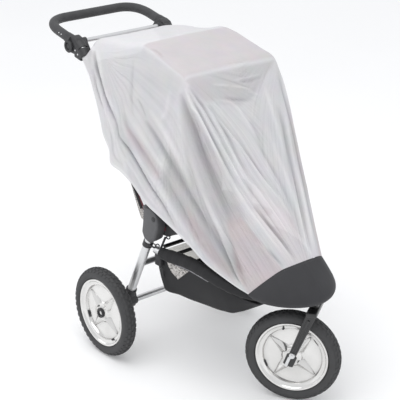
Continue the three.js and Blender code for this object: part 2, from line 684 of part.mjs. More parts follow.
function tyre() {
  const rightHalf = TYRE_HALF.map(([radius, along]) => [radius, -along]).reverse();
  return latheAboutY([...rightHalf, ...TYRE_HALF, rightHalf[0]]);
}

// The outer face of the wheel points along +Y.
function wheel() {
  const { lipRadius, lipHalfWidth, channelRadius, channelHalfWidth, dishRadius } = RIM;
  const lipInner = lipRadius - 6;
  const dish = 4;
  const profile = [
    [0, -HUB.halfWidth],
    [HUB.radius, -HUB.halfWidth],
    [HUB.radius + 4, -dish],
    [dishRadius, -dish],
    [dishRadius + 6, -12],
    [lipInner, -lipHalfWidth],
    [lipRadius, -lipHalfWidth],
    [lipRadius, -channelHalfWidth],
    [channelRadius, -channelHalfWidth],
    [channelRadius, channelHalfWidth],
    [lipRadius, channelHalfWidth],
    [lipRadius, lipHalfWidth],
    [lipInner, lipHalfWidth],
    [dishRadius + 6, 12],
    [dishRadius, dish],
    [HUB.radius + 4, dish],
    [HUB.radius, HUB.halfWidth],
    [0, HUB.halfWidth],
  ];
  const body = latheAboutY(profile);
  const star = new THREE.Shape();
  const tips = 4;
  for (let k = 0; k < 2 * tips; k += 1) {
    const radius = k % 2 === 0 ? dishRadius - 6 : HUB.radius + 8;
    const angle = (Math.PI * (k + 1)) / tips;
    const point = [radius * Math.cos(angle), radius * Math.sin(angle)];
    if (k === 0) star.moveTo(...point);
    else star.lineTo(...point);
  }
  const rise = 8;
  const relief = new THREE.ExtrudeGeometry(star, { depth: rise, bevelEnabled: false });
  relief.rotateX(-Math.PI / 2).translate(0, dish - 1, 0);
  return join(body, relief);
}

function hubCap() {
  const start = HUB.halfWidth + SOCKET_GAP;
  return bar([0, start, 0], [0, start + HUB.capDepth, 0], HUB.capRadius, { sides: 16 });
}

function rearWheelParts() {
  const place = (geometry) => geometry.translate(WHEEL.rearAxleX, WHEEL.trackHalf, WHEEL.axleHeight);
  return [
    ["tyre_rear", place(tyre()), MATERIAL.tyre],
    ["wheel_rear", place(wheel()), MATERIAL.wheel],
    ["hub_cap_rear", place(hubCap()), MATERIAL.plastic],
  ];
}

function frontWheelParts() {
  const place = (geometry) => steer(mirrored(geometry)).translate(WHEEL.frontX, WHEEL.frontY, WHEEL.axleHeight);
  return [
    namedMesh("tyre_front", place(tyre()), MATERIAL.tyre),
    namedMesh("wheel_front", place(wheel()), MATERIAL.wheel),
  ];
}

// Seat and basket

function seatPieces() {
  const { halfWidth, baseHalfWidth, legHalfWidth } = SEAT;
  const plate = new THREE.Shape([
    new THREE.Vector2(FOOT_PLATE.back, -FOOT_PLATE.backHalfWidth),
    new THREE.Vector2(FOOT_PLATE.front, -FOOT_PLATE.frontHalfWidth),
    new THREE.Vector2(FOOT_PLATE.front, FOOT_PLATE.frontHalfWidth),
    new THREE.Vector2(FOOT_PLATE.back, FOOT_PLATE.backHalfWidth),
  ]);
  const footPlate = new THREE.ExtrudeGeometry(plate, { depth: FOOT_PLATE.top - FOOT_PLATE.bottom, bevelEnabled: false });
  footPlate.translate(0, 0, FOOT_PLATE.bottom);
  return [
    namedMesh("seat_back", sidePlate(SEAT_BACK_OUTLINE, -halfWidth, halfWidth), MATERIAL.seat),
    namedMesh("seat_base", sidePlate(SEAT_BASE_OUTLINE, -baseHalfWidth, baseHalfWidth), MATERIAL.seat),
    namedMesh("leg_rest", sidePlate(LEG_REST_OUTLINE, -legHalfWidth, legHalfWidth), MATERIAL.seat),
    namedMesh("foot_plate", footPlate, MATERIAL.basket),
  ];
}

// A closed trough from rings of four corners: floor and rim, right to left.
function troughSolid(rings) {
  const positions = rings.flat(2);
  const index = [];
  const quad = (a, b, c, d) => index.push(a, b, c, a, c, d);
  for (let i = 0; i < rings.length - 1; i += 1) {
    for (let k = 0; k < 4; k += 1) {
      const next = (k + 1) % 4;
      quad(4 * i + k, 4 * i + next, 4 * (i + 1) + next, 4 * (i + 1) + k);
    }
  }
  quad(3, 2, 1, 0);
  const last = 4 * (rings.length - 1);
  quad(last, last + 1, last + 2, last + 3);
  const geometry = new THREE.BufferGeometry();
  geometry.setAttribute("position", new THREE.Float32BufferAttribute(positions, 3));
  geometry.setIndex(index);
  geometry.computeVertexNormals();
  return geometry;
}

function basketRings(inset, lift) {
  const last = BASKET_SECTIONS.length - 1;
  return BASKET_SECTIONS.map(({ x, rim, rimHalf, bottom, floorHalf }, i) => {
    const moved = x + (i === 0 ? inset : 0) - (i === last ? inset : 0);
    const lifted = rim + lift;
    const rimSide = rimHalf - inset + (lift * (rimHalf - floorHalf)) / (rim - bottom);
    return [
      [moved, inset - floorHalf, bottom + inset],
      [moved, floorHalf - inset, bottom + inset],
      [moved, rimSide, lifted],
      [moved, -rimSide, lifted],
    ];
  });
}

function basket() {
  const outer = troughSolid(basketRings(0, 0));
  const inner = troughSolid(basketRings(SHEET.basket, 30));
  return namedMesh("basket", cut(outer, inner), MATERIAL.basket);
}

// Assembly

const stroller = new THREE.Group();

function addPair(name, geometry, material) {
  stroller.add(namedMesh(`${name}_left`, geometry, material));
  stroller.add(namedMesh(`${name}_right`, mirrored(geometry), material));
}

stroller.add(netBody(), footBoot(), canopy(), handleGrip(), crossbar());
addPair("canopy_arm", canopyArm(), MATERIAL.plastic);
addPair("handle_bracket", handleBracket(), MATERIAL.plastic);
addPair("crossbar_cap", crossbarCap(), MATERIAL.plastic);
addPair("main_tube", bar(...mainTubeEnds(), TUBE.main), MATERIAL.alloy);
addPair("hinge_block", hingeBlock(), MATERIAL.grey);
addPair("rear_leg", rearLeg(), MATERIAL.alloy);
addPair("axle_bracket", axleBracket(), MATERIAL.plastic);
addPair("lower_tube", lowerTube(), MATERIAL.alloy);
addPair("basket_band", basketBand(), MATERIAL.basket);
for (const [name, geometry, material] of rearWheelParts()) addPair(name, geometry, material);
stroller.add(rearAxleTube(), middleCrossTube(), seatCrossTube(), steeringHead(), fork());
stroller.add(...frontWheelParts(), ...seatPieces(), basket());

export default stroller;
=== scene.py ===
# A mosquito net draped over a plain three-wheeled stroller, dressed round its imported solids.
# Metres, +X forwards, +Y to the stroller's left, +Z up; the origin is on the ground under its middle.

import math

import bmesh
import bpy
import numpy as np
from mathutils import Matrix, Vector, noise


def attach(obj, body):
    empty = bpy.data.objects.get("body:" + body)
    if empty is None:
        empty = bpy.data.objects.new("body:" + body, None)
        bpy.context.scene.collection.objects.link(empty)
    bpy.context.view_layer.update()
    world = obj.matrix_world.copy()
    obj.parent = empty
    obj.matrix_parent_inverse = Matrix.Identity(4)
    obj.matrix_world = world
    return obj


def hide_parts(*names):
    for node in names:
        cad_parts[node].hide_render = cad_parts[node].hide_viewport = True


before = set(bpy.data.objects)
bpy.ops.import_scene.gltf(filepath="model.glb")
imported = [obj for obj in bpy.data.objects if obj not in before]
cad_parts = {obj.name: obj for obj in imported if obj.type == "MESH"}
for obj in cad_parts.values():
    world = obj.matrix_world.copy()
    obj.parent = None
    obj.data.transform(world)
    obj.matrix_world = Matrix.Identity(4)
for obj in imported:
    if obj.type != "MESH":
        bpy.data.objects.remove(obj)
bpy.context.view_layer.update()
collection = bpy.context.scene.collection


# Studio
# The stroller stands on white paper in a bright tent. The camera looks down on its right side from
# in front. A broad soft lamp hangs over that side, and a weaker one stands behind it.

CAMERA_PLACE = (2.930, -2.454, 2.084)
CAMERA_AZIMUTH = math.radians(50.05)
CAMERA_ELEVATION = math.radians(22.03)
LENS = 111.7
PAPER_SIZE = 14.0
PAPER_GLOW = 0.09
SHARP_ANGLE = math.radians(38)
TENT_WHITE = (0.97, 0.98, 1.0, 1.0)
TENT_STRENGTH = 0.93
LAMPS = [
    {"name": "top_lamp", "place": (0.3, -0.9, 3.2), "aim": (0.0, 0.0, 0.5), "size": 2.6, "power": 38},
    {"name": "side_lamp", "place": (-3.0, -2.2, 1.8), "aim": (-0.1, 0.0, 0.6), "size": 1.8, "power": 7},
]


def linear(hex_colour):
    """An sRGB hex colour as linear red, green, blue and one."""
    channels = [int(hex_colour[i : i + 2], 16) / 255 for i in (1, 3, 5)]
    return (*(c / 12.92 if c <= 0.04045 else ((c + 0.055) / 1.055) ** 2.4 for c in channels), 1.0)


def add_node(material, kind, inputs=None, **settings):
    """Adds one shader node; an input is a plain value or another node's socket."""
    made = material.node_tree.nodes.new("ShaderNode" + kind)
    for name, value in settings.items():
        setattr(made, name, value)
    for socket, value in (inputs or {}).items():
        if isinstance(value, bpy.types.NodeSocket):
            material.node_tree.links.new(value, made.inputs[socket])
        else:
            made.inputs[socket].default_value = value
    return made


def new_material(name):
    """An empty node material with its output node."""
    material = bpy.data.materials.new(name)
    material.use_nodes = True
    material.node_tree.nodes.clear()
    return material, material.node_tree.nodes.new("ShaderNodeOutputMaterial").inputs["Surface"]


def finish_material(material, surface, shader):
    """Joins the last shader to the output and hands the material back."""
    material.node_tree.links.new(shader.outputs[0], surface)
    return material


def link_object(name, bm, material):
    """Turns a bmesh into a scene object at the origin, shaded smooth between its hard edges."""
    mesh = bpy.data.meshes.new(name)
    bm.to_mesh(mesh)
    bm.free()
    mesh.materials.append(material)
    mesh.shade_smooth()
    mesh.set_sharp_from_angle(angle=SHARP_ANGLE)
    made = bpy.data.objects.new(name, mesh)
    collection.objects.link(made)
    return made


def patchy_finish(name, tones, patches, looks, rough=None, grain=None, relief=None):
    """A surface in soft patches of a darker and a lighter tone, over a fine grain.

    looks holds the shader's own values. rough is the roughness of the darker and the lighter patches.
    grain is the kind of pattern, what is read from it and its values, and relief its strength and depth.
    """
    material, surface = new_material(name)
    place = add_node(material, "TexCoord").outputs["Object"]
    cloudy = add_node(material, "TexNoise", {"Vector": place, **patches}).outputs["Fac"]
    dark, light = (linear(tone) for tone in tones)
    tone = add_node(material, "Mix", {0: cloudy, 6: dark, 7: light}, data_type="RGBA")
    looks = {"Base Color": tone.outputs[2], **looks}
    if rough:
        spread = add_node(material, "MapRange", {"Value": cloudy, "To Min": rough[0], "To Max": rough[1]})
        looks["Roughness"] = spread.outputs["Result"]
    if grain:
        kind, read, values = grain
        height = add_node(material, kind, {"Vector": place, **values}).outputs[read]
        bump = add_node(material, "Bump", {"Height": height, "Strength": relief[0], "Distance": relief[1]})
        looks["Normal"] = bump.outputs["Normal"]
    return finish_material(material, surface, add_node(material, "BsdfPrincipled", looks))


# matt white background paper, lit a little from behind; its barely uneven tone changes over a metre
white_paper = patchy_finish(
    "white_paper",
    ("#f2f2f2", "#f7f7f7"),
    {"Scale": 0.8, "Detail": 2.0},
    {"Roughness": 0.9, "Emission Color": linear("#ffffff"), "Emission Strength": PAPER_GLOW},
)
paper = bmesh.new()
bmesh.ops.create_grid(paper, x_segments=2, y_segments=2, size=PAPER_SIZE / 2)
link_object("floor_paper", paper, white_paper)

camera = bpy.data.objects.new("camera", bpy.data.cameras.new("camera"))
collection.objects.link(camera)
camera.location = CAMERA_PLACE
camera.data.lens = LENS
camera_back = Vector(
    (
        math.sin(CAMERA_AZIMUTH) * math.cos(CAMERA_ELEVATION),
        -math.cos(CAMERA_AZIMUTH) * math.cos(CAMERA_ELEVATION),
        math.sin(CAMERA_ELEVATION),
    )
)
camera.rotation_euler = (-camera_back).to_track_quat("-Z", "Y").to_euler()
bpy.context.scene.camera = camera

for lamp in LAMPS:
    light = bpy.data.lights.new(lamp["name"], "AREA")
    light.size = lamp["size"]
    light.energy = lamp["power"]
    holder = bpy.data.objects.new(lamp["name"], light)
    holder.location = lamp["place"]
    holder.rotation_euler = (Vector(lamp["aim"]) - Vector(lamp["place"])).to_track_quat("-Z", "Y").to_euler()
    collection.objects.link(holder)

tent = bpy.data.worlds.new("tent")
tent.use_nodes = True
tent.node_tree.nodes["Background"].inputs["Color"].default_value = TENT_WHITE
tent.node_tree.nodes["Background"].inputs["Strength"].default_value = TENT_STRENGTH
bpy.context.scene.world = tent
bpy.context.scene.view_settings.view_transform = "Standard"


# Straight tubes
# The frame is drawn aluminium tube, satin anodised. Main tubes run from the handle brackets to the
# hinges, legs from there to the rear axle, and cross tubes join the sides.

MAIN_TUBE_RADIUS = 0.014
LEG_RADIUS = 0.0145
AXLE_TUBE_RADIUS = 0.011
CROSSBAR_RADIUS = 0.0075
MAIN_TUBE_TOP = (-0.388, 0.185, 1.009)
MAIN_TUBE_BOTTOM = (-0.016, 0.185, 0.524)
LEG_TOP = (-0.025, 0.193, 0.446)
LEG_BOTTOM = (-0.118, 0.211, 0.214)
TUBE_SIDES = 40
CROSS_TUBES = [
    {"node": "rear_axle_tube", "x": -0.135, "z": 0.176, "half": 0.1905, "radius": AXLE_TUBE_RADIUS},
    {"node": "middle_cross_tube", "x": -0.0669, "z": 0.3416, "half": 0.186, "radius": AXLE_TUBE_RADIUS},
    {"node": "crossbar", "x": -0.413, "z": 1.024, "half": 0.152, "radius": CROSSBAR_RADIUS},
]
DRAW_LINE = 1 / 900


def side_of(point, side):
    """The point on the left for side 1, and its mirror image on the right for side -1."""
    return Vector((point[0], point[1] * side, point[2]))


def add_rod(bm, start, end, radius, end_radius=None, sides=TUBE_SIDES):
    """Adds a round rod or cone between two points."""
    start, end = Vector(start), Vector(end)
    turn = (end - start).to_track_quat("Z", "Y").to_matrix().to_4x4()
    bmesh.ops.create_cone(
        bm,
        cap_ends=True,
        segments=sides,
        radius1=radius,
        radius2=radius if end_radius is None else end_radius,
        depth=(end - start).length,
        matrix=Matrix.Translation((start + end) / 2) @ turn,
    )


def add_cross_rod(bm, row, sides=TUBE_SIDES):
    """Adds a rod straight across the stroller: its row gives x, z, half its length and its radius."""
    x, half, z = row["x"], row["half"], row["z"]
    add_rod(bm, (x, -half, z), (x, half, z), row["radius"], sides=sides)


def rigid_piece(name, bm, material, slot, *nodes):
    """Adds a hard piece that rides on the stroller and stands for the named nodes."""
    bmesh.ops.recalc_face_normals(bm, faces=bm.faces)
    piece = link_object(name, bm, material)
    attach(piece, "root")
    if nodes:
        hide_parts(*nodes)
    return piece


# anodised aluminium: silver and satin, with faint lines from drawing and rub marks some 70 mm long
alloy = patchy_finish(
    "anodised_aluminium",
    ("#d0d1d3", "#e0e0e0"),
    {"Scale": 14.0, "Detail": 4.0},
    {"Metallic": 0.9},
    rough=(0.26, 0.4),
    grain=("TexNoise", "Fac", {"Scale": 1 / DRAW_LINE, "Detail": 2.0}),
    relief=(0.08, 0.0002),
)
SIDES = {"left": 1, "right": -1}
for side, sign in SIDES.items():
    for name, top, bottom, radius in (
        ("main_tube", MAIN_TUBE_TOP, MAIN_TUBE_BOTTOM, MAIN_TUBE_RADIUS),
        ("rear_leg", LEG_TOP, LEG_BOTTOM, LEG_RADIUS),
    ):
        tube = bmesh.new()
        add_rod(tube, side_of(top, sign), side_of(bottom, sign), radius)
        rigid_piece(f"alloy_{name}_{side}", tube, alloy, "alloy", f"{name}_{side}")

for row in CROSS_TUBES:
    tube = bmesh.new()
    add_cross_rod(tube, row)
    rigid_piece(f"alloy_{row['node']}", tube, alloy, "alloy", row["node"])


# Lower tubes
# A bent tube runs forwards from each hinge, below the basket's rim, and meets the other one at the
# steering head.

LOWER_TUBE_RADIUS = 0.013
RAIL_STEPS = 60
LOWER_RAIL = [
    (0.000, 0.188, 0.412),
    (0.060, 0.189, 0.414),
    (0.120, 0.188, 0.421),
    (0.190, 0.187, 0.425),
    (0.255, 0.184, 0.419),
    (0.320, 0.170, 0.404),
    (0.375, 0.148, 0.392),
    (0.425, 0.122, 0.387),
    (0.480, 0.090, 0.385),
    (0.515, 0.057, 0.384),
    (0.531, 0.026, 0.383),
]


def curve_point(points, share):
    """A point on the smooth curve through all the points, at a share of the way from first to last."""
    place = min(max(share, 0.0), 1.0) * (len(points) - 1)
    k = min(int(place), len(points) - 2)
    w = place - k
    start, end = Vector(points[k]), Vector(points[k + 1])
    before = Vector(points[k - 1]) if k > 0 else 2 * start - end
    after = Vector(points[k + 2]) if k + 2 < len(points) else 2 * end - start
    first = (start - before).length ** 0.5
    middle = (end - start).length ** 0.5
    last = (after - end).length ** 0.5
    leave = ((start - before) / first - (end - before) / (first + middle)) * middle + end - start
    arrive = ((after - end) / last - (after - start) / (middle + last)) * middle + end - start
    turned = -3 * start + 3 * end - 2 * leave - arrive
    return start + leave * w + turned * w**2 + (2 * start - 2 * end + leave + arrive) * w**3


def add_bent_tube(bm, points, radii, sides=24):
    """Sweeps a round ring along the points by extrusion; each point has its own radius."""
    points = [Vector(point) for point in points]
    last = len(points) - 1
    axes = [(points[min(k + 1, last)] - points[max(k - 1, 0)]).normalized() for k in range(last + 1)]
    turn = axes[0].to_track_quat("Z", "Y").to_matrix().to_4x4()
    ring = bmesh.ops.create_circle(
        bm, segments=sides, radius=radii[0], matrix=Matrix.Translation(points[0]) @ turn
    )["verts"]
    edges = list({edge for vert in ring for edge in vert.link_edges})
    bmesh.ops.contextual_create(bm, geom=edges)
    for k in range(1, len(points)):
        made = bmesh.ops.extrude_edge_only(bm, edges=edges)["geom"]
        ring = [item for item in made if isinstance(item, bmesh.types.BMVert)]
        edges = [item for item in made if isinstance(item, bmesh.types.BMEdge)]
        edges = [edge for edge in edges if edge.verts[0] in ring and edge.verts[1] in ring]
        bend = axes[k - 1].rotation_difference(axes[k]).to_matrix().to_4x4()
        grow = Matrix.Scale(radii[k] / radii[k - 1], 4)
        move = Matrix.Translation(points[k]) @ bend @ grow @ Matrix.Translation(-points[k - 1])
        bmesh.ops.transform(bm, matrix=move, verts=ring)
    bmesh.ops.contextual_create(bm, geom=edges)


for side, sign in SIDES.items():
    tube = bmesh.new()
    line = [side_of(curve_point(LOWER_RAIL, k / RAIL_STEPS), sign) for k in range(RAIL_STEPS + 1)]
    add_bent_tube(tube, line, [LOWER_TUBE_RADIUS] * len(line))
    rigid_piece(f"alloy_lower_tube_{side}", tube, alloy, "alloy", f"lower_tube_{side}")


# Handle grip
# A bow of tube in a sleeve of closed-cell foam, which shows fine pores, with two small rivets
# near each end.

HANDLE_PIVOT = (-0.428, 1.027)
HANDLE_HALF_WIDTH = 0.193
HANDLE_TILT = math.radians(12.3)
HANDLE_REACH = 0.1675
HANDLE_CORNER = 0.087
GRIP_RADIUS = 0.016
FOAM_PORE = 0.0012
RIVET_RADIUS = 0.0022
RIVET_REACHES = (0.046, 0.060)
RIVET_LEAN = 0.35
STRAIGHT_STEPS, CORNER_STEPS, MIDDLE_STEPS = 8, 16, 6


# closed-cell foam: matt dark grey with open pores, worn paler in patches some 30 mm wide
foam_rubber = patchy_finish(
    "foam_rubber",
    ("#2c2c2d", "#454547"),
    {"Scale": 30.0, "Detail": 5.0},
    {"Roughness": 0.72, "Sheen Weight": 0.06},
    grain=("TexVoronoi", "Distance", {"Scale": 1 / FOAM_PORE}),
    relief=(0.5, 0.0004),
)


def place_on_handle(reach, across, rise=0.0):
    """A point in the handle's own tilted plane, as a place in the scene."""
    back = reach * math.cos(HANDLE_TILT) - rise * math.sin(HANDLE_TILT)
    up = reach * math.sin(HANDLE_TILT) + rise * math.cos(HANDLE_TILT)
    return Vector((HANDLE_PIVOT[0] - back, across, HANDLE_PIVOT[1] + up))


def handle_half():
    """The handle's left half, from its bracket to the middle, as reach and width."""
    straight = HANDLE_REACH - HANDLE_CORNER
    inner = HANDLE_HALF_WIDTH - HANDLE_CORNER
    half = [(straight * k / STRAIGHT_STEPS, HANDLE_HALF_WIDTH) for k in range(STRAIGHT_STEPS)]
    for k in range(CORNER_STEPS + 1):
        t = k / CORNER_STEPS
        reach = (1 - t) ** 2 * straight + (1 - (1 - t) ** 2) * HANDLE_REACH
        across = (1 - t**2) * HANDLE_HALF_WIDTH + t**2 * inner
        half.append((reach, across))
    return half + [(HANDLE_REACH, inner * (1 - k / MIDDLE_STEPS)) for k in range(1, MIDDLE_STEPS + 1)]


half = handle_half()
grip_line = [place_on_handle(reach, across) for reach, across in half]
grip_line += [place_on_handle(reach, -across) for reach, across in reversed(half[:-1])]
grip = bmesh.new()
add_bent_tube(grip, grip_line, [GRIP_RADIUS] * len(grip_line), sides=32)
rigid_piece("foam_handle_grip", grip, foam_rubber, "foam_grip", "handle_grip")

rivets = bmesh.new()
for sign in SIDES.values():
    for reach in RIVET_REACHES:
        outwards = Vector((0, sign, RIVET_LEAN)).normalized()
        seat = place_on_handle(reach, sign * HANDLE_HALF_WIDTH) + outwards * GRIP_RADIUS
        bmesh.ops.create_uvsphere(
            rivets, u_segments=16, v_segments=8, radius=RIVET_RADIUS, matrix=Matrix.Translation(seat)
        )
rigid_piece("handle_rivets", rivets, alloy, "alloy")


# Handle brackets and crossbar caps
# Moulded black brackets clamp the handle to the main tubes. Each has a round locking knob on its
# outer face and two bolts ahead of it; caps close the crossbar's ends.

BRACKET_OUTLINE = [
    (-0.466, 1.014),
    (-0.450, 1.034),
    (-0.424, 1.046),
    (-0.400, 1.038),
    (-0.380, 1.012),
    (-0.376, 0.979),
    (-0.402, 0.984),
    (-0.434, 0.986),
    (-0.456, 0.996),
]
BRACKET_INNER = 0.168
BRACKET_OUTER = 0.203
BRACKET_ROUNDING = 0.005
KNOB_PLACE = (-0.434, 1.009)
KNOB_PROFILE = [
    (0.0, 0.006),
    (0.008, 0.006),
    (0.0095, 0.0045),
    (0.012, 0.0045),
    (0.0135, 0.0085),
    (0.0195, 0.0085),
    (0.022, 0.006),
    (0.022, -0.002),
]
BRACKET_WEB = [(-0.412, 1.036), (-0.388, 1.024), (-0.372, 1.000), (-0.374, 0.968), (-0.412, 0.976)]
WEB_INNER = 0.158
WEB_OUTER = 0.202
WEB_ROUNDING = 0.004
BRACKET_BOLTS = [(-0.400, 1.001), (-0.386, 0.990)]
BOLT_RADIUS = 0.0032
BOLT_PROFILE = [(0, 0.0022), (0.003, 0.0020), (BOLT_RADIUS, 0.0008), (BOLT_RADIUS, -0.002)]
COLLAR_REACHES = (0.001, 0.030)
COLLAR_RADIUS = 0.0185
COLLAR_TAPER = 0.001
SLEEVE_RADIUS = 0.0195
SLEEVE_SHARES = (0.01, 0.055)
NECK_SHIFT = Vector((-0.018, 0, 0.012))
CAP_RADIUS = 0.012
CAP_LENGTH = 0.0153
CAP_FACE = 0.009
CAP_CHAMFER = 0.003
MOULD_GRAIN = 0.0009


def moulded_plastic(name, tones):
    """Glass-filled nylon from a sparked mould: a fine grain and a dull, slightly uneven shine."""
    return patchy_finish(
        name,
        tones,
        {"Scale": 40.0, "Detail": 4.0},
        {},
        rough=(0.42, 0.58),
        grain=("TexNoise", "Fac", {"Scale": 1 / MOULD_GRAIN, "Detail": 3.0}),
        relief=(0.25, 0.0003),
    )


def round_edges(part, rounding, segments=3):
    """Rounds every edge of a part."""
    bmesh.ops.bevel(
        part,
        geom=part.edges[:],
        offset=rounding,
        segments=segments,
        profile=0.5,
        affect="EDGES",
        material=-1,
        clamp_overlap=True,
    )


def slab(corners, thickness, rounding, segments=3):
    """A flat outline given a thickness, which is a vector, with its edges rounded."""
    part = bmesh.new()
    face = part.faces.new([part.verts.new(corner) for corner in corners])
    made = bmesh.ops.extrude_face_region(part, geom=[face])["geom"]
    moved = [item for item in made if isinstance(item, bmesh.types.BMVert)]
    bmesh.ops.translate(part, vec=thickness, verts=moved)
    round_edges(part, rounding, segments)
    return part


def plate(outline, inner, outer, rounding, segments=3):
    """A plate with its outline in the XZ plane, between an inner and an outer width."""
    return slab([(x, inner, z) for x, z in outline], (0, outer - inner, 0), rounding, segments)


def turned(profile, steps=32):
    """A turned shape about Z: the profile's rows are radius and height."""
    part = bmesh.new()
    verts = [part.verts.new((radius, 0, height)) for radius, height in profile]
    edges = [part.edges.new(pair) for pair in zip(verts, verts[1:])]
    bmesh.ops.spin(
        part,
        geom=verts + edges,
        cent=(0, 0, 0),
        axis=(0, 0, 1),
        steps=steps,
        angle=math.tau,
        use_merge=True,
    )
    bmesh.ops.remove_doubles(part, verts=part.verts, dist=1e-5)
    return part


def pointing(place, axis):
    """The move that sets a part made about Z at a place, along an axis."""
    return Matrix.Translation(place) @ Vector(axis).to_track_quat("Z", "Y").to_matrix().to_4x4()


def merge_in(bm, part, move=Matrix.Identity(4)):
    """Moves a finished part into the piece that it belongs to."""
    bmesh.ops.transform(part, matrix=move, verts=part.verts)
    bmesh.ops.recalc_face_normals(part, faces=part.faces)
    carrier = bpy.data.meshes.new("carrier")
    part.to_mesh(carrier)
    part.free()
    bm.from_mesh(carrier)
    bpy.data.meshes.remove(carrier)


def down_tube(ends, share, side):
    """The point at a share of the way down a straight tube, on one side of the stroller."""
    return side_of(curve_point(ends, share), side)


MAIN_TUBE = [MAIN_TUBE_TOP, MAIN_TUBE_BOTTOM]
nylon = moulded_plastic("black_nylon", ("#222224", "#363638"))
for side, sign in SIDES.items():
    mirror = Matrix.Scale(sign, 4, (0, 1, 0))
    outwards = (0, sign, 0)
    bracket = bmesh.new()
    merge_in(bracket, plate(BRACKET_OUTLINE, BRACKET_INNER, BRACKET_OUTER, BRACKET_ROUNDING), mirror)
    merge_in(bracket, plate(BRACKET_WEB, WEB_INNER, WEB_OUTER, WEB_ROUNDING), mirror)
    knob_at = (KNOB_PLACE[0], sign * BRACKET_OUTER, KNOB_PLACE[1])
    merge_in(bracket, turned(KNOB_PROFILE, 40), pointing(knob_at, outwards))
    start, end = (place_on_handle(reach, sign * HANDLE_HALF_WIDTH) for reach in COLLAR_REACHES)
    add_rod(bracket, start, end, COLLAR_RADIUS, COLLAR_RADIUS - COLLAR_TAPER)
    start, end = (down_tube(MAIN_TUBE, share, sign) for share in SLEEVE_SHARES)
    add_rod(bracket, side_of(MAIN_TUBE_TOP, sign) + NECK_SHIFT, start, SLEEVE_RADIUS)
    add_rod(bracket, start, end, SLEEVE_RADIUS)
    rigid_piece(f"nylon_handle_bracket_{side}", bracket, nylon, "black_plastic", f"handle_bracket_{side}")

    bolts = bmesh.new()
    for x, z in BRACKET_BOLTS:
        merge_in(bolts, turned(BOLT_PROFILE, 20), pointing((x, sign * BRACKET_OUTER, z), outwards))
    rigid_piece(f"bracket_bolts_{side}", bolts, alloy, "alloy")

    cap = turned(
        [
            (0, CAP_LENGTH),
            (CAP_FACE, CAP_LENGTH),
            (CAP_RADIUS, CAP_LENGTH - CAP_CHAMFER),
            (CAP_RADIUS, 0),
            (0, 0),
        ]
    )
    bar_row = CROSS_TUBES[-1]
    cap_at = (bar_row["x"], sign * bar_row["half"], bar_row["z"])
    bmesh.ops.transform(cap, matrix=pointing(cap_at, outwards), verts=cap.verts)
    rigid_piece(f"nylon_crossbar_cap_{side}", cap, nylon, "black_plastic", f"crossbar_cap_{side}")


# Hinges
# A grey moulded block at each side folds the frame. The main tube ends in it, the leg and the lower
# tube start below it, and a black strap with hooks goes round the leg's neck.

HINGE_OUTLINE = [
    (-0.038, 0.554),
    (0.002, 0.560),
    (0.030, 0.542),
    (0.038, 0.508),
    (0.022, 0.458),
    (-0.008, 0.437),
    (-0.036, 0.445),
    (-0.047, 0.468),
    (-0.040, 0.510),
]
HINGE_INNER = 0.172
HINGE_OUTER = 0.211
HINGE_ROUNDING = 0.008
SOCKET = {"shares": (0.93, 0.99), "radii": (0.019, 0.021)}
HINGE_BOLT_PROFILE = [
    (0, 0.003),
    (0.0045, 0.003),
    (0.006, 0.0015),
    (0.0085, 0.0015),
    (0.0095, 0.0),
    (0.0095, -0.003),
]
HINGE_BOLT = (0.018, 0.530)
STRAP_SHARES = (0.055, 0.125)
STRAP_RADIUS = 0.0172
STRAP_TAIL = [(-0.020, 0.198, 0.424), (0.004, 0.196, 0.421), (0.020, 0.188, 0.419)]
STRAP_TAIL_RADII = (0.0035, 0.0030, 0.0035)
STRAP_RINGS = [(-0.006, 0.192, 0.4245), (0.012, 0.190, 0.429), (0.046, 0.172, 0.467)]
RING_LEAN = (0.35, 0.2)
RING_PROFILE = [
    (0.0042, 0.0),
    (0.0050, 0.0016),
    (0.0066, 0.0020),
    (0.0080, 0.0010),
    (0.0080, -0.0010),
    (0.0066, -0.0020),
    (0.0050, -0.0016),
    (0.0042, 0.0),
]
WEBBING = [(0.036, 0.176, 0.464), (0.028, 0.182, 0.438), (0.021, 0.186, 0.417)]
WEBBING_RADII = (0.0040, 0.0035, 0.0040)
TUBE_BLOCK = {"centre": (0.014, 0.184, 0.388), "size": (0.030, 0.020, 0.056), "rounding": 0.004}


def rounded_block(size, rounding, segments=3):
    """A block about the origin with rounded edges."""
    part = bmesh.new()
    bmesh.ops.create_cube(part, size=1.0)
    bmesh.ops.scale(part, vec=size, verts=part.verts)
    round_edges(part, rounding, segments)
    return part


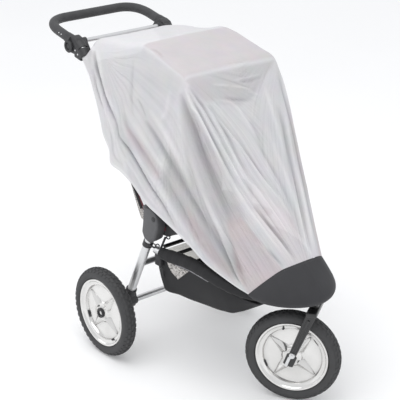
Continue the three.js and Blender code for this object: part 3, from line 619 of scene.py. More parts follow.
LEG = [LEG_TOP, LEG_BOTTOM]
grey_nylon = moulded_plastic("grey_nylon", ("#48484a", "#5c5c5e"))
for side, sign in SIDES.items():
    mirror = Matrix.Scale(sign, 4, (0, 1, 0))
    hinge = bmesh.new()
    merge_in(hinge, plate(HINGE_OUTLINE, HINGE_INNER, HINGE_OUTER, HINGE_ROUNDING, 4), mirror)
    start, end = (down_tube(MAIN_TUBE, share, sign) for share in SOCKET["shares"])
    add_rod(hinge, start, end, *SOCKET["radii"])
    rigid_piece(f"nylon_hinge_{side}", hinge, grey_nylon, "grey_plastic", f"hinge_block_{side}")

    strap = bmesh.new()
    bolt_at = (HINGE_BOLT[0], sign * HINGE_OUTER, HINGE_BOLT[1])
    merge_in(strap, turned(HINGE_BOLT_PROFILE, 24), pointing(bolt_at, (0, sign, 0)))
    start, end = (down_tube(LEG, share, sign) for share in STRAP_SHARES)
    add_rod(strap, start, end, STRAP_RADIUS)
    for band, radii in ((STRAP_TAIL, STRAP_TAIL_RADII), (WEBBING, WEBBING_RADII)):
        add_bent_tube(strap, [side_of(point, sign) for point in band], radii, sides=12)
    for place in STRAP_RINGS:
        ring_axis = (RING_LEAN[0], sign, RING_LEAN[1])
        merge_in(strap, turned(RING_PROFILE, 24), pointing(side_of(place, sign), ring_axis))
    block = rounded_block(TUBE_BLOCK["size"], TUBE_BLOCK["rounding"])
    merge_in(strap, block, Matrix.Translation(side_of(TUBE_BLOCK["centre"], sign)))
    rigid_piece(f"nylon_leg_strap_{side}", strap, nylon, "black_plastic")


# Rear axle brackets
# A moulded nylon foot is pressed on the end of each leg. The axle tube is plugged into its inner
# face, and the wheel's stub axle grows out of its outer one.

AXLE_FOOT_OUTLINE = [
    (-0.167, 0.176),
    (-0.154, 0.214),
    (-0.130, 0.222),
    (-0.104, 0.216),
    (-0.103, 0.182),
    (-0.112, 0.164),
    (-0.140, 0.162),
]
AXLE_FOOT_INNER = 0.191
AXLE_FOOT_OUTER = 0.225
REAR_AXLE = (-0.160, 0.285, 0.155)
HUB_HALF_WIDTH = 0.014
HUB_CLEARANCE = 0.0005
AXLE_FOOT_ROUNDING = 0.005
FOOT_COLLAR = {"shares": (0.90, 0.99), "radii": (0.0185, 0.0195)}
STUB_RADIUS = 0.014
STUB_ROOT = {"ahead": 0.012, "in": 0.012, "up": 0.018, "radius": 0.020}
STUB_NECK = 0.012
STUB_END = 0.014
AXLE_SOCKET = {"length": 0.016, "radii": (0.0155, 0.017)}

for side, sign in SIDES.items():
    mirror = Matrix.Scale(sign, 4, (0, 1, 0))
    foot = bmesh.new()
    merge_in(foot, plate(AXLE_FOOT_OUTLINE, AXLE_FOOT_INNER, AXLE_FOOT_OUTER, AXLE_FOOT_ROUNDING), mirror)
    start, end = (down_tube(LEG, share, sign) for share in FOOT_COLLAR["shares"])
    add_rod(foot, start, end, *FOOT_COLLAR["radii"])
    x, _, z = REAR_AXLE
    hub_face = REAR_AXLE[1] - HUB_HALF_WIDTH - HUB_CLEARANCE
    root = (x + STUB_ROOT["ahead"], sign * (AXLE_FOOT_OUTER - STUB_ROOT["in"]), z + STUB_ROOT["up"])
    add_rod(foot, root, (x, sign * (hub_face - STUB_NECK), z), STUB_ROOT["radius"], STUB_RADIUS)
    add_rod(foot, (x, sign * (hub_face - STUB_END), z), (x, sign * hub_face, z), STUB_RADIUS)
    x, z = CROSS_TUBES[0]["x"], CROSS_TUBES[0]["z"]
    inner = (x, sign * (AXLE_FOOT_INNER - AXLE_SOCKET["length"]), z)
    add_rod(foot, inner, (x, sign * AXLE_FOOT_INNER, z), *AXLE_SOCKET["radii"])
    rigid_piece(f"nylon_axle_foot_{side}", foot, nylon, "black_plastic", f"axle_bracket_{side}")


# Wheels
# Cast aluminium wheels, polished: a rounded lip, a deep dish and four raised kite-shaped arms that
# meet at the hub. A black valve sits in the dish's wall, and two small black blocks in it are painted
# shade for two slots.

FRONT_AXLE = (0.465, -0.005, 0.155)
STEER = math.radians(32.3)
RIM_PROFILE = [
    (0.0000, 0.0145),
    (0.0190, 0.0145),
    (0.0210, 0.0130),
    (0.0310, 0.0115),
    (0.0350, 0.0060),
    (0.0400, 0.0035),
    (0.0900, 0.0032),
    (0.0940, 0.0040),
    (0.0965, 0.0070),
    (0.0980, 0.0115),
    (0.1015, 0.0135),
    (0.1065, 0.0142),
    (0.1095, 0.0160),
    (0.1115, 0.0195),
    (0.1140, 0.0210),
    (0.1175, 0.0210),
    (0.1192, 0.0195),
    (0.1196, 0.0160),
]
RIM_STEPS = 96
ARM_TURN = math.radians(52)
ARM_ROOT = {"radius": 0.027, "half_width": 0.0215, "height": 0.0185}
ARM_TIP = {"radius": 0.0925, "half_width": 0.0034, "height": 0.0085}
ARM_BASE = 0.0028
ARM_TIP_CUT = 0.004
ARM_ROUNDING = 0.0008
VALVE = {"radius": 0.0985, "height": 0.006, "turn_rear": math.radians(306), "turn_front": math.radians(108)}
VALVE_PROFILE = [(0, 0.012), (0.0025, 0.012), (0.0042, 0.004), (0.0042, 0), (0, 0)]
SLOT_SHADES = {"radius": 0.0955, "height": 0.0065, "turns": [math.radians(-155), math.radians(38)]}
SLOT_SHADE_SIZE = (0.004, 0.024, 0.006)
SLOT_SHADE_ROUNDING = 0.0012
CORNER_SHADE_REACH = 0.016


def polished_casting():
    """Cast aluminium, machined and clear-coated: bright, in soft patches, with painted shade darkening its
    corners.
    """
    material, surface = new_material("polished_casting")
    place = add_node(material, "TexCoord").outputs["Object"]
    patches = add_node(material, "TexNoise", {"Vector": place, "Scale": 22.0, "Detail": 4.0}).outputs["Fac"]
    pores = add_node(material, "TexNoise", {"Vector": place, "Scale": 600.0, "Detail": 2.0})
    dull, bright = linear("#d3d2d0"), linear("#e9e8e6")
    tone = add_node(material, "Mix", {0: patches, 6: dull, 7: bright}, data_type="RGBA")
    # painted shade: an ambient occlusion mask turns the casting dark grey in its corners and crevices
    corner_openness = add_node(material, "AmbientOcclusion", {"Distance": CORNER_SHADE_REACH}, samples=8).outputs["AO"]
    unshaded = add_node(material, "MapRange", {"Value": corner_openness, "From Min": 0.35, "From Max": 0.92})
    corner_shaded = {0: unshaded.outputs["Result"], 6: linear("#5b5a59"), 7: tone.outputs[2]}
    rough = add_node(material, "MapRange", {"Value": patches, "To Min": 0.08, "To Max": 0.2})
    bump = add_node(material, "Bump", {"Height": pores.outputs["Fac"], "Strength": 0.1, "Distance": 0.0002})
    shader = add_node(
        material,
        "BsdfPrincipled",
        {
            "Base Color": add_node(material, "Mix", corner_shaded, data_type="RGBA").outputs[2],
            "Metallic": 0.85,
            "Roughness": rough.outputs["Result"],
            "Coat Weight": 0.3,
            "Normal": bump.outputs["Normal"],
        },
    )
    return finish_material(material, surface, shader)


def wheel_move(centre, forward, outward):
    """The move that sets a wheel made about Z at its axle, with its outer face outward."""
    forward, outward = Vector(forward).normalized(), Vector(outward).normalized()
    turn = Matrix((forward, outward.cross(forward), outward)).transposed().to_4x4()
    return Matrix.Translation(centre) @ turn


def spread_round(bm, geom, count):
    """Repeats a shape round the axle."""
    bmesh.ops.spin(
        bm,
        geom=geom,
        cent=(0, 0, 0),
        axis=(0, 0, 1),
        steps=count - 1,
        angle=math.tau * (count - 1) / count,
        use_duplicate=True,
    )


def star_arms(face):
    """Four ridged arms on one face of the wheel: the outer one for face 1, the inner one for -1."""
    part = bmesh.new()
    root, tip = ARM_ROOT, ARM_TIP
    rows = [
        (root["radius"], -root["half_width"], ARM_BASE),
        (root["radius"], root["half_width"], ARM_BASE),
        (tip["radius"], tip["half_width"], ARM_BASE),
        (tip["radius"], -tip["half_width"], ARM_BASE),
        (root["radius"], 0, root["height"]),
        (tip["radius"] - ARM_TIP_CUT, 0, tip["height"]),
    ]
    v = [part.verts.new((x, y, face * z)) for x, y, z in rows]
    for corners in ((0, 3, 2, 1), (0, 4, 5, 3), (1, 2, 5, 4), (3, 5, 2), (0, 1, 4)):
        part.faces.new([v[k] for k in corners])
    round_edges(part, ARM_ROUNDING, 2)
    bmesh.ops.rotate(part, cent=(0, 0, 0), matrix=Matrix.Rotation(ARM_TURN, 3, "Z"), verts=part.verts)
    spread_round(part, part.verts[:] + part.edges[:] + part.faces[:], 4)
    return part


wheel_ahead = Vector((math.cos(STEER), math.sin(STEER), 0))
wheel_right = Vector((math.sin(STEER), -math.cos(STEER), 0))
WHEELS = [
    {"name": "rear_left", "move": wheel_move(REAR_AXLE, (1, 0, 0), (0, 1, 0)), "valve": VALVE["turn_rear"]},
    {
        "name": "rear_right",
        "move": wheel_move(side_of(REAR_AXLE, -1), (1, 0, 0), (0, -1, 0)),
        "valve": VALVE["turn_rear"],
    },
    {"name": "front", "move": wheel_move(FRONT_AXLE, wheel_ahead, wheel_right), "valve": VALVE["turn_front"]},
]


def mirrored_profile(profile):
    """A half profile followed by its mirror image, back to the other face."""
    return profile + [(radius, -height) for radius, height in reversed(profile)]


casting = polished_casting()
for row in WHEELS:
    wheel = bmesh.new()
    merge_in(wheel, turned(mirrored_profile(RIM_PROFILE), RIM_STEPS), row["move"])
    for face in (1, -1):
        merge_in(wheel, star_arms(face), row["move"])
    rigid_piece(f"cast_wheel_{row['name']}", wheel, casting, "cast_wheel", f"wheel_{row['name']}")

    fittings = bmesh.new()
    reach, turn = VALVE["radius"], row["valve"]
    spot = Matrix.Translation((reach * math.cos(turn), reach * math.sin(turn), VALVE["height"]))
    merge_in(fittings, turned(VALVE_PROFILE, 16), row["move"] @ spot)
    # painted shade: two small black blocks stand for the shade inside two slots in the dish's wall
    for turn in SLOT_SHADES["turns"]:
        spot = Matrix.Rotation(turn, 4, "Z") @ Matrix.Translation((SLOT_SHADES["radius"], 0, SLOT_SHADES["height"]))
        merge_in(fittings, rounded_block(SLOT_SHADE_SIZE, SLOT_SHADE_ROUNDING, 2), row["move"] @ spot)
    rigid_piece(f"wheel_fittings_{row['name']}", fittings, nylon, "black_plastic")


# Rear hub caps
# A moulded black ring with a bright turned button in its centre closes the outer face of each rear
# hub.

HUB_CAP_PROFILE = [
    (0.0095, 0.0145),
    (0.0095, 0.0220),
    (0.0120, 0.0235),
    (0.0150, 0.0235),
    (0.0170, 0.0215),
    (0.0170, 0.0145),
]
HUB_BUTTON_PROFILE = [(0, 0.0205), (0.006, 0.0200), (0.0092, 0.0180), (0.0092, 0.0145)]

for row in WHEELS[:2]:
    ring = turned(HUB_CAP_PROFILE + HUB_CAP_PROFILE[:1], 40)
    bmesh.ops.transform(ring, matrix=row["move"], verts=ring.verts)
    rigid_piece(f"hub_ring_{row['name']}", ring, nylon, "black_plastic", f"hub_cap_{row['name']}")
    button = turned(HUB_BUTTON_PROFILE, 32)
    bmesh.ops.transform(button, matrix=row["move"], verts=button.verts)
    rigid_piece(f"hub_button_{row['name']}", button, casting, "cast_wheel")


# Tyres
# Air-filled tyres of moulded black rubber, on the wheels' lips: a smooth wall with a raised line
# round it, and a tread of small blocks in five rings.

TYRE_PROFILE = [
    (0.1186, 0.0100),
    (0.1198, 0.0150),
    (0.1205, 0.0195),
    (0.1235, 0.0228),
    (0.1270, 0.0243),
    (0.1283, 0.0242),
    (0.1296, 0.0249),
    (0.1350, 0.0247),
    (0.1410, 0.0228),
    (0.1465, 0.0190),
    (0.1505, 0.0140),
    (0.1527, 0.0080),
    (0.1535, 0.0000),
]
TYRE_STEPS = 120
TREAD_COUNT = 46
TREAD_ROWS = [
    {"radius": 0.1528, "height": 0.0000, "lean": 0, "offset": 0.0, "size": (0.0052, 0.0128, 0.0085)},
    {"radius": 0.1506, "height": 0.0110, "lean": 28, "offset": 0.5, "size": (0.0052, 0.0122, 0.0075)},
    {"radius": 0.1457, "height": 0.0182, "lean": 50, "offset": 0.0, "size": (0.0050, 0.0110, 0.0080)},
]


# black vulcanised rubber: matt, with a faint bloom of dust in patches some 40 mm wide
rubber = patchy_finish(
    "tyre_rubber",
    ("#303031", "#474748"),
    {"Scale": 26.0, "Detail": 6.0},
    {},
    rough=(0.55, 0.78),
    grain=("TexNoise", "Fac", {"Scale": 700.0, "Detail": 2.0}),
    relief=(0.2, 0.0003),
)


def tread_blocks(row, face):
    """One ring of tread blocks, leaning outwards towards one wall of the tyre."""
    part = bmesh.new()
    bmesh.ops.create_cube(part, size=1.0)
    bmesh.ops.scale(part, vec=row["size"], verts=part.verts)
    lean = Matrix.Rotation(-face * math.radians(row["lean"]), 4, "Y")
    start = Matrix.Rotation(math.tau * row["offset"] / TREAD_COUNT, 4, "Z")
    place = start @ Matrix.Translation((row["radius"], 0, face * row["height"])) @ lean
    bmesh.ops.transform(part, matrix=place, verts=part.verts)
    spread_round(part, part.verts[:] + part.edges[:] + part.faces[:], TREAD_COUNT)
    return part


for row in WHEELS:
    tyre = bmesh.new()
    far_wall = [(radius, -height) for radius, height in reversed(TYRE_PROFILE[:-1])]
    merge_in(tyre, turned(TYRE_PROFILE + far_wall + TYRE_PROFILE[:1], TYRE_STEPS), row["move"])
    for tread in TREAD_ROWS:
        for face in (1, -1) if tread["height"] else (1,):
            merge_in(tyre, tread_blocks(tread, face), row["move"])
    rigid_piece(f"rubber_tyre_{row['name']}", tyre, rubber, "tyre_rubber", f"tyre_{row['name']}")


# Fork and steering head
# A black steel fork: a crown under the steering head, two flat blades with a rib, bolts at the axle
# and a silver quick-release lever on the right.

FORK_CROWN = (0.529, 0.020, 0.334)
FORK_CROWN_SIZE = (0.034, 0.104, 0.016)
CROWN_ROUNDING = 0.004
BLADE_OFFSET = 0.045
BLADE_SIZE = (0.024, 0.010)
BLADE_ROUNDING = 0.0035
BLADE_FOOT_SPREAD = 0.9
BLADE_TOP_SPREAD = 1.30
RIB = {"radius": 0.0045, "above_axle": 0.03, "below_crown": 0.02}
DROPOUT = {"size": (0.034, 0.009, 0.042), "rounding": 0.004, "rise": 0.004}
AXLE_RADIUS = 0.007
BOLT_RISE = 0.027
STEM_RADIUS = 0.013
HEAD_CENTRE = (0.528, 0.0, 0.381)
HEAD_SIZE = (0.056, 0.060, 0.040)
HEAD_ROUNDING = 0.008
AXLE_BOLT_PROFILE = [
    (0, 0.009),
    (0.0035, 0.009),
    (0.0045, 0.0065),
    (0.0085, 0.0065),
    (0.0095, 0.005),
    (0.0095, -0.002),
    (0, -0.002),
]
LEVER_SIZE = (0.010, 0.005, 0.036)
LEVER = {"out": 0.007, "up": 0.014, "lean": math.radians(20), "overlap": 0.004, "rounding": 0.002}


# steel in black powder coat: semi-gloss, with the fine ripple of an orange's skin, about 2 mm apart
powder_black = patchy_finish(
    "powder_coated_steel",
    ("#1d1d1e", "#2b2b2c"),
    {"Scale": 18.0, "Detail": 3.0},
    {"Roughness": 0.28, "Coat Weight": 0.2},
    grain=("TexNoise", "Fac", {"Scale": 420.0, "Detail": 1.0}),
    relief=(0.12, 0.0003),
)
steer_turn = Matrix.Rotation(STEER, 4, "Z")
axle, crown = Vector(FRONT_AXLE), Vector(FORK_CROWN)
fork = bmesh.new()
merge_in(fork, rounded_block(FORK_CROWN_SIZE, CROWN_ROUNDING), Matrix.Translation(crown) @ steer_turn)
head_bottom = HEAD_CENTRE[2] - HEAD_SIZE[2] / 2
add_rod(fork, crown, (crown.x, crown.y, head_bottom), STEM_RADIUS)
for offset in (BLADE_OFFSET, -BLADE_OFFSET):
    low, high = axle + wheel_right * offset, crown + wheel_right * offset
    up = (high - low).normalized()
    across = (wheel_right - up * up.dot(wheel_right)).normalized()
    turn = Matrix((across.cross(up), across, up)).transposed().to_4x4()
    blade = rounded_block((*BLADE_SIZE, (high - low).length + BLADE_SIZE[0]), BLADE_ROUNDING)
    foot = [vert for vert in blade.verts if vert.co.z < 0]
    bmesh.ops.scale(blade, vec=(BLADE_FOOT_SPREAD, 1, 1), verts=foot)
    top = [vert for vert in blade.verts if vert.co.z > 0]
    bmesh.ops.scale(blade, vec=(BLADE_TOP_SPREAD, 1, 1), verts=top)
    merge_in(fork, blade, Matrix.Translation((low + high) / 2 - up * BLADE_SIZE[0] / 4) @ turn)
    face = across * math.copysign(BLADE_SIZE[1] / 2, offset)
    rib_low, rib_high = low + face + up * RIB["above_axle"], high + face - up * RIB["below_crown"]
    add_rod(fork, rib_low, rib_high, RIB["radius"], sides=16)
    dropout = rounded_block(DROPOUT["size"], DROPOUT["rounding"])
    merge_in(fork, dropout, Matrix.Translation(low + up * DROPOUT["rise"]) @ turn)
    hub_side = axle + wheel_right * math.copysign(HUB_HALF_WIDTH + HUB_CLEARANCE, offset)
    add_rod(fork, hub_side, low, AXLE_RADIUS, sides=20)
rigid_piece("steel_fork", fork, powder_black, "fork_steel", "fork")

hardware = bmesh.new()
blade_run = (crown - axle).normalized()
for offset in (BLADE_OFFSET, -BLADE_OFFSET):
    outward = wheel_right * math.copysign(1, offset)
    bolt_at = axle + wheel_right * offset + outward * BLADE_SIZE[1] / 2 + blade_run * BOLT_RISE
    merge_in(hardware, turned(AXLE_BOLT_PROFILE, 24), pointing(bolt_at, outward))
lever_root = axle + wheel_right * (BLADE_OFFSET + LEVER["out"]) + Vector((0, 0, LEVER["up"]))
lever_lean = Matrix.Rotation(LEVER["lean"], 4, "Y")
lever_drop = Matrix.Translation((0, 0, -LEVER_SIZE[2] / 2 + LEVER["overlap"]))
lever_move = Matrix.Translation(lever_root) @ steer_turn @ lever_lean @ lever_drop
merge_in(hardware, rounded_block(LEVER_SIZE, LEVER["rounding"]), lever_move)
rigid_piece("axle_hardware", hardware, alloy, "alloy")

head = rounded_block(HEAD_SIZE, HEAD_ROUNDING)
bmesh.ops.translate(head, vec=HEAD_CENTRE, verts=head.verts)
rigid_piece("nylon_steering_head", head, nylon, "black_plastic", "steering_head")


# Basket
# A black woven nylon bag hangs from the lower tubes by a sleeve round each, and sags a little between
# them. Its sides have a panel of grey mesh, pale piping and a black toggle at the rear.

BASKET_SECTIONS = [
    {"x": -0.022, "rim": 0.380, "rim_half": 0.168, "bottom": 0.240, "floor_half": 0.136},
    {"x": 0.006, "rim": 0.386, "rim_half": 0.172, "bottom": 0.240, "floor_half": 0.138},
    {"x": 0.060, "rim": 0.3947, "rim_half": 0.186, "bottom": 0.251, "floor_half": 0.138},
    {"x": 0.120, "rim": 0.399, "rim_half": 0.187, "bottom": 0.256, "floor_half": 0.139},
    {"x": 0.190, "rim": 0.403, "rim_half": 0.186, "bottom": 0.265, "floor_half": 0.138},
    {"x": 0.255, "rim": 0.397, "rim_half": 0.182, "bottom": 0.271, "floor_half": 0.135},
    {"x": 0.310, "rim": 0.383, "rim_half": 0.170, "bottom": 0.280, "floor_half": 0.130},
    {"x": 0.352, "rim": 0.370, "rim_half": 0.156, "bottom": 0.302, "floor_half": 0.122},
    {"x": 0.400, "rim": 0.358, "rim_half": 0.134, "bottom": 0.337, "floor_half": 0.110},
    {"x": 0.422, "rim": 0.355, "rim_half": 0.124, "bottom": 0.348, "floor_half": 0.104},
]
BASKET_GRID = (160, 28)
BASKET_WALL = 0.0016
BASKET_BULGE = 0.005
BASKET_FLOOR_SAG = 0.005
NYLON_THREAD = 0.0012
PANEL_CORNERS = {"top": [(0.050, 0.391), (0.166, 0.392)], "low": [(0.070, 0.352), (0.096, 0.334)]}
PANEL_GRID = (16, 10)
PANEL_PROUD = 0.0025
PIPING = {"start": 0.115, "end": 0.270, "steps": 24, "radius": 0.0017, "out": 0.0120, "down": 0.0186}
TOGGLE = {"centre": (0.004, 0.163, 0.326), "size": (0.014, 0.014, 0.034), "rounding": 0.005}
BASKET_SIDE_TURN = 1.6
BASKET_WALL_END = 0.55
BASKET_FLOOR_ENDS = (0.02, 0.40)


def woven_cloth(name, dark, light, thread, roughness=0.85, sheen=0.15):
    """Plain-woven synthetic cloth: dull, with slanting ribs and small knots a thread apart, and rubbed
    in patches some 55 mm wide."""
    material, surface = new_material(name)
    place = add_node(material, "TexCoord").outputs["Object"]
    ribs = {"Vector": place, "Scale": 0.05 / thread, "Distortion": 0.6, "Detail": 1.0}
    warp = add_node(material, "TexWave", ribs, bands_direction="DIAGONAL")
    weft = add_node(material, "TexNoise", {"Vector": place, "Scale": 1 / thread, "Detail": 2.0})
    crossed = {0: warp.outputs["Fac"], 1: weft.outputs["Fac"]}
    weave = add_node(material, "Math", crossed, operation="MULTIPLY").outputs["Value"]
    rubbed = add_node(material, "TexNoise", {"Vector": place, "Scale": 18.0, "Detail": 5.0})
    tones = {0: rubbed.outputs["Fac"], 6: linear(dark), 7: linear(light)}
    tone = add_node(material, "Mix", tones, data_type="RGBA")
    bump = add_node(material, "Bump", {"Height": weave, "Strength": 0.35, "Distance": thread / 3})
    shader = add_node(
        material,
        "BsdfPrincipled",
        {
            "Base Color": tone.outputs[2],
            "Roughness": roughness,
            "Sheen Weight": sheen,
            "Normal": bump.outputs["Normal"],
        },
    )
    return finish_material(material, surface, shader)


# the real mesh has a hole every two millimetres, which the small panel draws at six so that it shows
PANEL_MESH_SCALE = 165.0
POCKET_MESH_SCALE = 380.0


def speckled_mesh(name, scale):
    """Open knitted polyester mesh: matt, pale grey, with dark holes."""
    material, surface = new_material(name)
    place = add_node(material, "TexCoord").outputs["Object"]
    holes = add_node(material, "TexVoronoi", {"Vector": place, "Scale": scale}).outputs["Distance"]
    rims = add_node(material, "MapRange", {"Value": holes, "From Min": 0.2, "From Max": 0.6})
    tones = {0: rims.outputs["Result"], 6: linear("#3c3937"), 7: linear("#c9c5c1")}
    tone = add_node(material, "Mix", tones, data_type="RGBA")
    bump = add_node(material, "Bump", {"Height": holes, "Strength": 0.5, "Distance": 0.0006})
    looks = {"Base Color": tone.outputs[2], "Roughness": 0.8, "Normal": bump.outputs["Normal"]}
    return finish_material(material, surface, add_node(material, "BsdfPrincipled", looks))


def grid_sheet(across, along, place):
    """A sheet made from a grid; place turns its across and along shares (0 to 1) into a point."""
    part = bmesh.new()
    part.loops.layers.uv.new("UVMap")
    bmesh.ops.create_grid(part, x_segments=across, y_segments=along, size=0.5, calc_uvs=True)
    for vert in part.verts:
        vert.co = place(vert.co.x + 0.5, vert.co.y + 0.5)
    return part


def soft_piece(name, bm, material, slot, *nodes, thickness=0.0):
    """Adds a cloth piece that rides on the stroller and stands for the named nodes."""
    piece = link_object(name, bm, material)
    if thickness:
        wall = piece.modifiers.new("wall", "SOLIDIFY")
        wall.thickness = thickness
        wall.offset = 0.0
    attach(piece, "root")
    if nodes:
        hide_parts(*nodes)
    return piece


def mix(start, end, share):
    """The point at a share of the way between two points."""
    return Vector(start) * (1 - share) + Vector(end) * share


def arc_point(start, control, end, share):
    """A point on the parabola that leaves start towards control and arrives at end."""
    return mix(mix(start, control, share), mix(control, end, share), share)


def basket_at(x):
    """The basket's rim and floor sizes at a place along it."""
    stations = [row["x"] for row in BASKET_SECTIONS]
    return {
        key: float(np.interp(x, stations, [row[key] for row in BASKET_SECTIONS]))
        for key in BASKET_SECTIONS[0]
    }


def basket_edge(share):
    """Rim point and floor-edge point at a share of the way round the basket, from the front right."""
    rear, front = BASKET_SECTIONS[0]["x"], BASKET_SECTIONS[-1]["x"]
    turn, side = share * 4, BASKET_SIDE_TURN
    if turn <= side:
        x, y = front + (rear - front) * turn / side, -1.0
    elif turn <= 2.0:
        x, y = rear, -1.0 + (turn - side) / ((2 - side) / 2)
    elif turn <= 2 + side:
        x, y = rear + (front - rear) * (turn - 2.0) / side, 1.0
    else:
        x, y = front, 1.0 - (turn - 2 - side) / ((2 - side) / 2)
    size = basket_at(x)
    rim = Vector((x, y * size["rim_half"], size["rim"]))
    floor = Vector((x, y * size["floor_half"], size["bottom"]))
    return rim, floor


def basket_point(share, depth):
    """A point of the basket's shell: round it at a share, and from rim (0) to floor middle (1)."""
    rim, floor = basket_edge(share)
    outward = Vector((0, math.copysign(1, rim.y), 0)) if abs(rim.y) > 0.01 else Vector((0, 0, 0))
    if depth <= BASKET_WALL_END:
        down = depth / BASKET_WALL_END
        bulge = BASKET_BULGE * math.sin(math.pi * down)
        return mix(rim, floor, down) + outward * bulge
    inwards = (depth - BASKET_WALL_END) / (1 - BASKET_WALL_END)
    rear, front = BASKET_FLOOR_ENDS
    middle = Vector((min(max(floor.x, rear), front), 0, basket_at(floor.x)["bottom"]))
    sag = BASKET_FLOOR_SAG * math.sin(math.pi * inwards / 2)
    return mix(floor, middle, inwards) - Vector((0, 0, sag))


bag_cloth = woven_cloth("bag_nylon", "#161618", "#212123", NYLON_THREAD, sheen=0.03)
shell = grid_sheet(*BASKET_GRID, basket_point)
bmesh.ops.remove_doubles(shell, verts=shell.verts, dist=1e-4)
bmesh.ops.recalc_face_normals(shell, faces=shell.faces)
inner_verts = [vert for vert in shell.verts if not vert.is_boundary]
bmesh.ops.smooth_vert(
    shell, verts=inner_verts, factor=0.5, use_axis_x=True, use_axis_y=True, use_axis_z=True
)
basket = soft_piece("bag_basket", shell, bag_cloth, "basket_cloth", "basket", thickness=BASKET_WALL)


def panel_point(across, along):
    """A point of the mesh panel, which lies just outside the bag's right wall."""
    top, low = (
        mix((*PANEL_CORNERS[edge][0], 0), (*PANEL_CORNERS[edge][1], 0), across) for edge in ("top", "low")
    )
    x, z, _ = mix(low, top, along)
    size = basket_at(x)
    down = (size["rim"] - z) / (size["rim"] - size["bottom"])
    wall = size["rim_half"] + (size["floor_half"] - size["rim_half"]) * down
    return Vector((x, -wall - BASKET_BULGE * math.sin(math.pi * max(down, 0)) - PANEL_PROUD, z))


pale_mesh = speckled_mesh("panel_mesh", PANEL_MESH_SCALE)
piping_cloth = woven_cloth("piping_polyester", "#8b8a8e", "#a5a4a8", NYLON_THREAD)
for side, sign in SIDES.items():
    panel = grid_sheet(*PANEL_GRID, panel_point)
    bmesh.ops.scale(panel, vec=(1, -sign, 1), verts=panel.verts)
    bmesh.ops.recalc_face_normals(panel, faces=panel.faces)
    panel_piece = soft_piece(
        f"mesh_panel_{side}", panel, pale_mesh, "basket_cloth", thickness=BASKET_WALL / 2
    )

    toggle = rounded_block(TOGGLE["size"], TOGGLE["rounding"])
    bmesh.ops.translate(toggle, vec=side_of(TOGGLE["centre"], sign), verts=toggle.verts)
    rigid_piece(f"nylon_toggle_{side}", toggle, nylon, "black_plastic")

    piping = bmesh.new()
    line = []
    for x in np.linspace(PIPING["start"], PIPING["end"], PIPING["steps"] + 1):
        y, z = (
            np.interp(x, [row[0] for row in LOWER_RAIL], [row[axis] for row in LOWER_RAIL]) for axis in (1, 2)
        )
        line.append((x, sign * (y + PIPING["out"]), z - PIPING["down"]))
    add_bent_tube(piping, line, [PIPING["radius"]] * len(line), sides=10)
    rigid_piece(f"piping_{side}", piping, piping_cloth, "basket_cloth")

SLEEVE_SPAN = (0.055, 0.73)
SLEEVE_STEPS = 70
SLEEVE_FULLNESS = 0.0205
SLEEVE_DROP = 0.0015
for side, sign in SIDES.items():
    sleeve = bmesh.new()
    line = []
    radii = []
    for k in range(SLEEVE_STEPS + 1):
        share = SLEEVE_SPAN[0] + (SLEEVE_SPAN[1] - SLEEVE_SPAN[0]) * k / SLEEVE_STEPS
        line.append(side_of(curve_point(LOWER_RAIL, share), sign) - Vector((0, 0, SLEEVE_DROP)))
        # two slow ripples, under a millimetre each, and a taper to both ends
        ripple = 0.0007 * math.sin(k * 0.9) + 0.0005 * math.sin(k * 2.3 + 1)
        taper = min(1.0, 0.86 + 0.14 * k / 6, 0.80 + 0.2 * (SLEEVE_STEPS - k) / 8)
        radii.append(SLEEVE_FULLNESS * taper + ripple)
    add_bent_tube(sleeve, line, radii, sides=28)
    piece = rigid_piece(f"sleeve_{side}", sleeve, bag_cloth, "basket_cloth", f"basket_band_{side}")


# Seat
# Padded polyester: a reclined back and a leg rest in dark red, and a black base on a steel tube and a
# pale fluted board. A pocket of grey mesh with a dark binding hangs behind the back, and a nylon plate
# carries the feet.

SEAT_BACK_OUTLINE = [
    (-0.338, 0.975),
    (-0.352, 0.958),
    (-0.262, 0.800),
    (-0.170, 0.628),
    (-0.150, 0.590),
    (-0.110, 0.522),
    (-0.078, 0.508),
    (-0.074, 0.560),
    (-0.142, 0.668),
    (-0.318, 0.972),
]
SEAT_BASE_OUTLINE = [
    (-0.074, 0.505),
    (-0.070, 0.462),
    (-0.030, 0.446),
    (0.010, 0.440),
    (0.040, 0.441),
    (0.062, 0.462),
    (0.098, 0.488),
    (0.176, 0.492),
    (0.176, 0.512),
    (0.160, 0.516),
    (0.040, 0.508),
    (-0.060, 0.516),
]
LEG_REST_OUTLINE = [
    (0.176, 0.476),
    (0.240, 0.440),
    (0.320, 0.412),
    (0.322, 0.426),
    (0.246, 0.456),
    (0.176, 0.505),
]
SEAT_HALF_WIDTH = 0.1700
SEAT_BASE_HALF_WIDTH = 0.1715
LEG_REST_HALF_WIDTH = 0.132
PAD_ROUNDING = 0.009
PAD_CUTS = 22
PAD_CROWN_POWER = 0.7
SEAT_THREAD = 0.0011
POCKET_OUTLINE = [
    (-0.180, 0.642),
    (-0.160, 0.632),
    (-0.080, 0.540),
    (-0.078, 0.500),
    (-0.084, 0.480),
    (-0.106, 0.480),
    (-0.134, 0.534),
    (-0.160, 0.590),
]
POCKET_HALF_WIDTH = 0.168
POCKET_ROUNDING = 0.006
BINDING = {"line": [(-0.166, 0.636), (-0.130, 0.580), (-0.096, 0.522)], "across": 0.1690, "radius": 0.0065}
SEAT_TUBE = {"x": 0.020, "z": 0.4240, "half": 0.168, "radius": 0.0066}
SEAT_BOARD = {"centre": (0.078, 0.0, 0.4095), "size": (0.120, 0.350, 0.0045), "rounding": 0.0015}
BOARD_RIBS = {"count": 10, "radius": 0.0012, "inset": 0.002}
BOARD_BAR = {"x": 0.078, "z": 0.4160, "half": 0.174, "radius": 0.0062}
BOARD_PAINTED_GLOW = 0.40
WINGS = {"lift": 0.021, "from": 0.15, "over": 0.8, "top": 0.500, "depth": 0.045, "rear": -0.045, "run": 0.060}
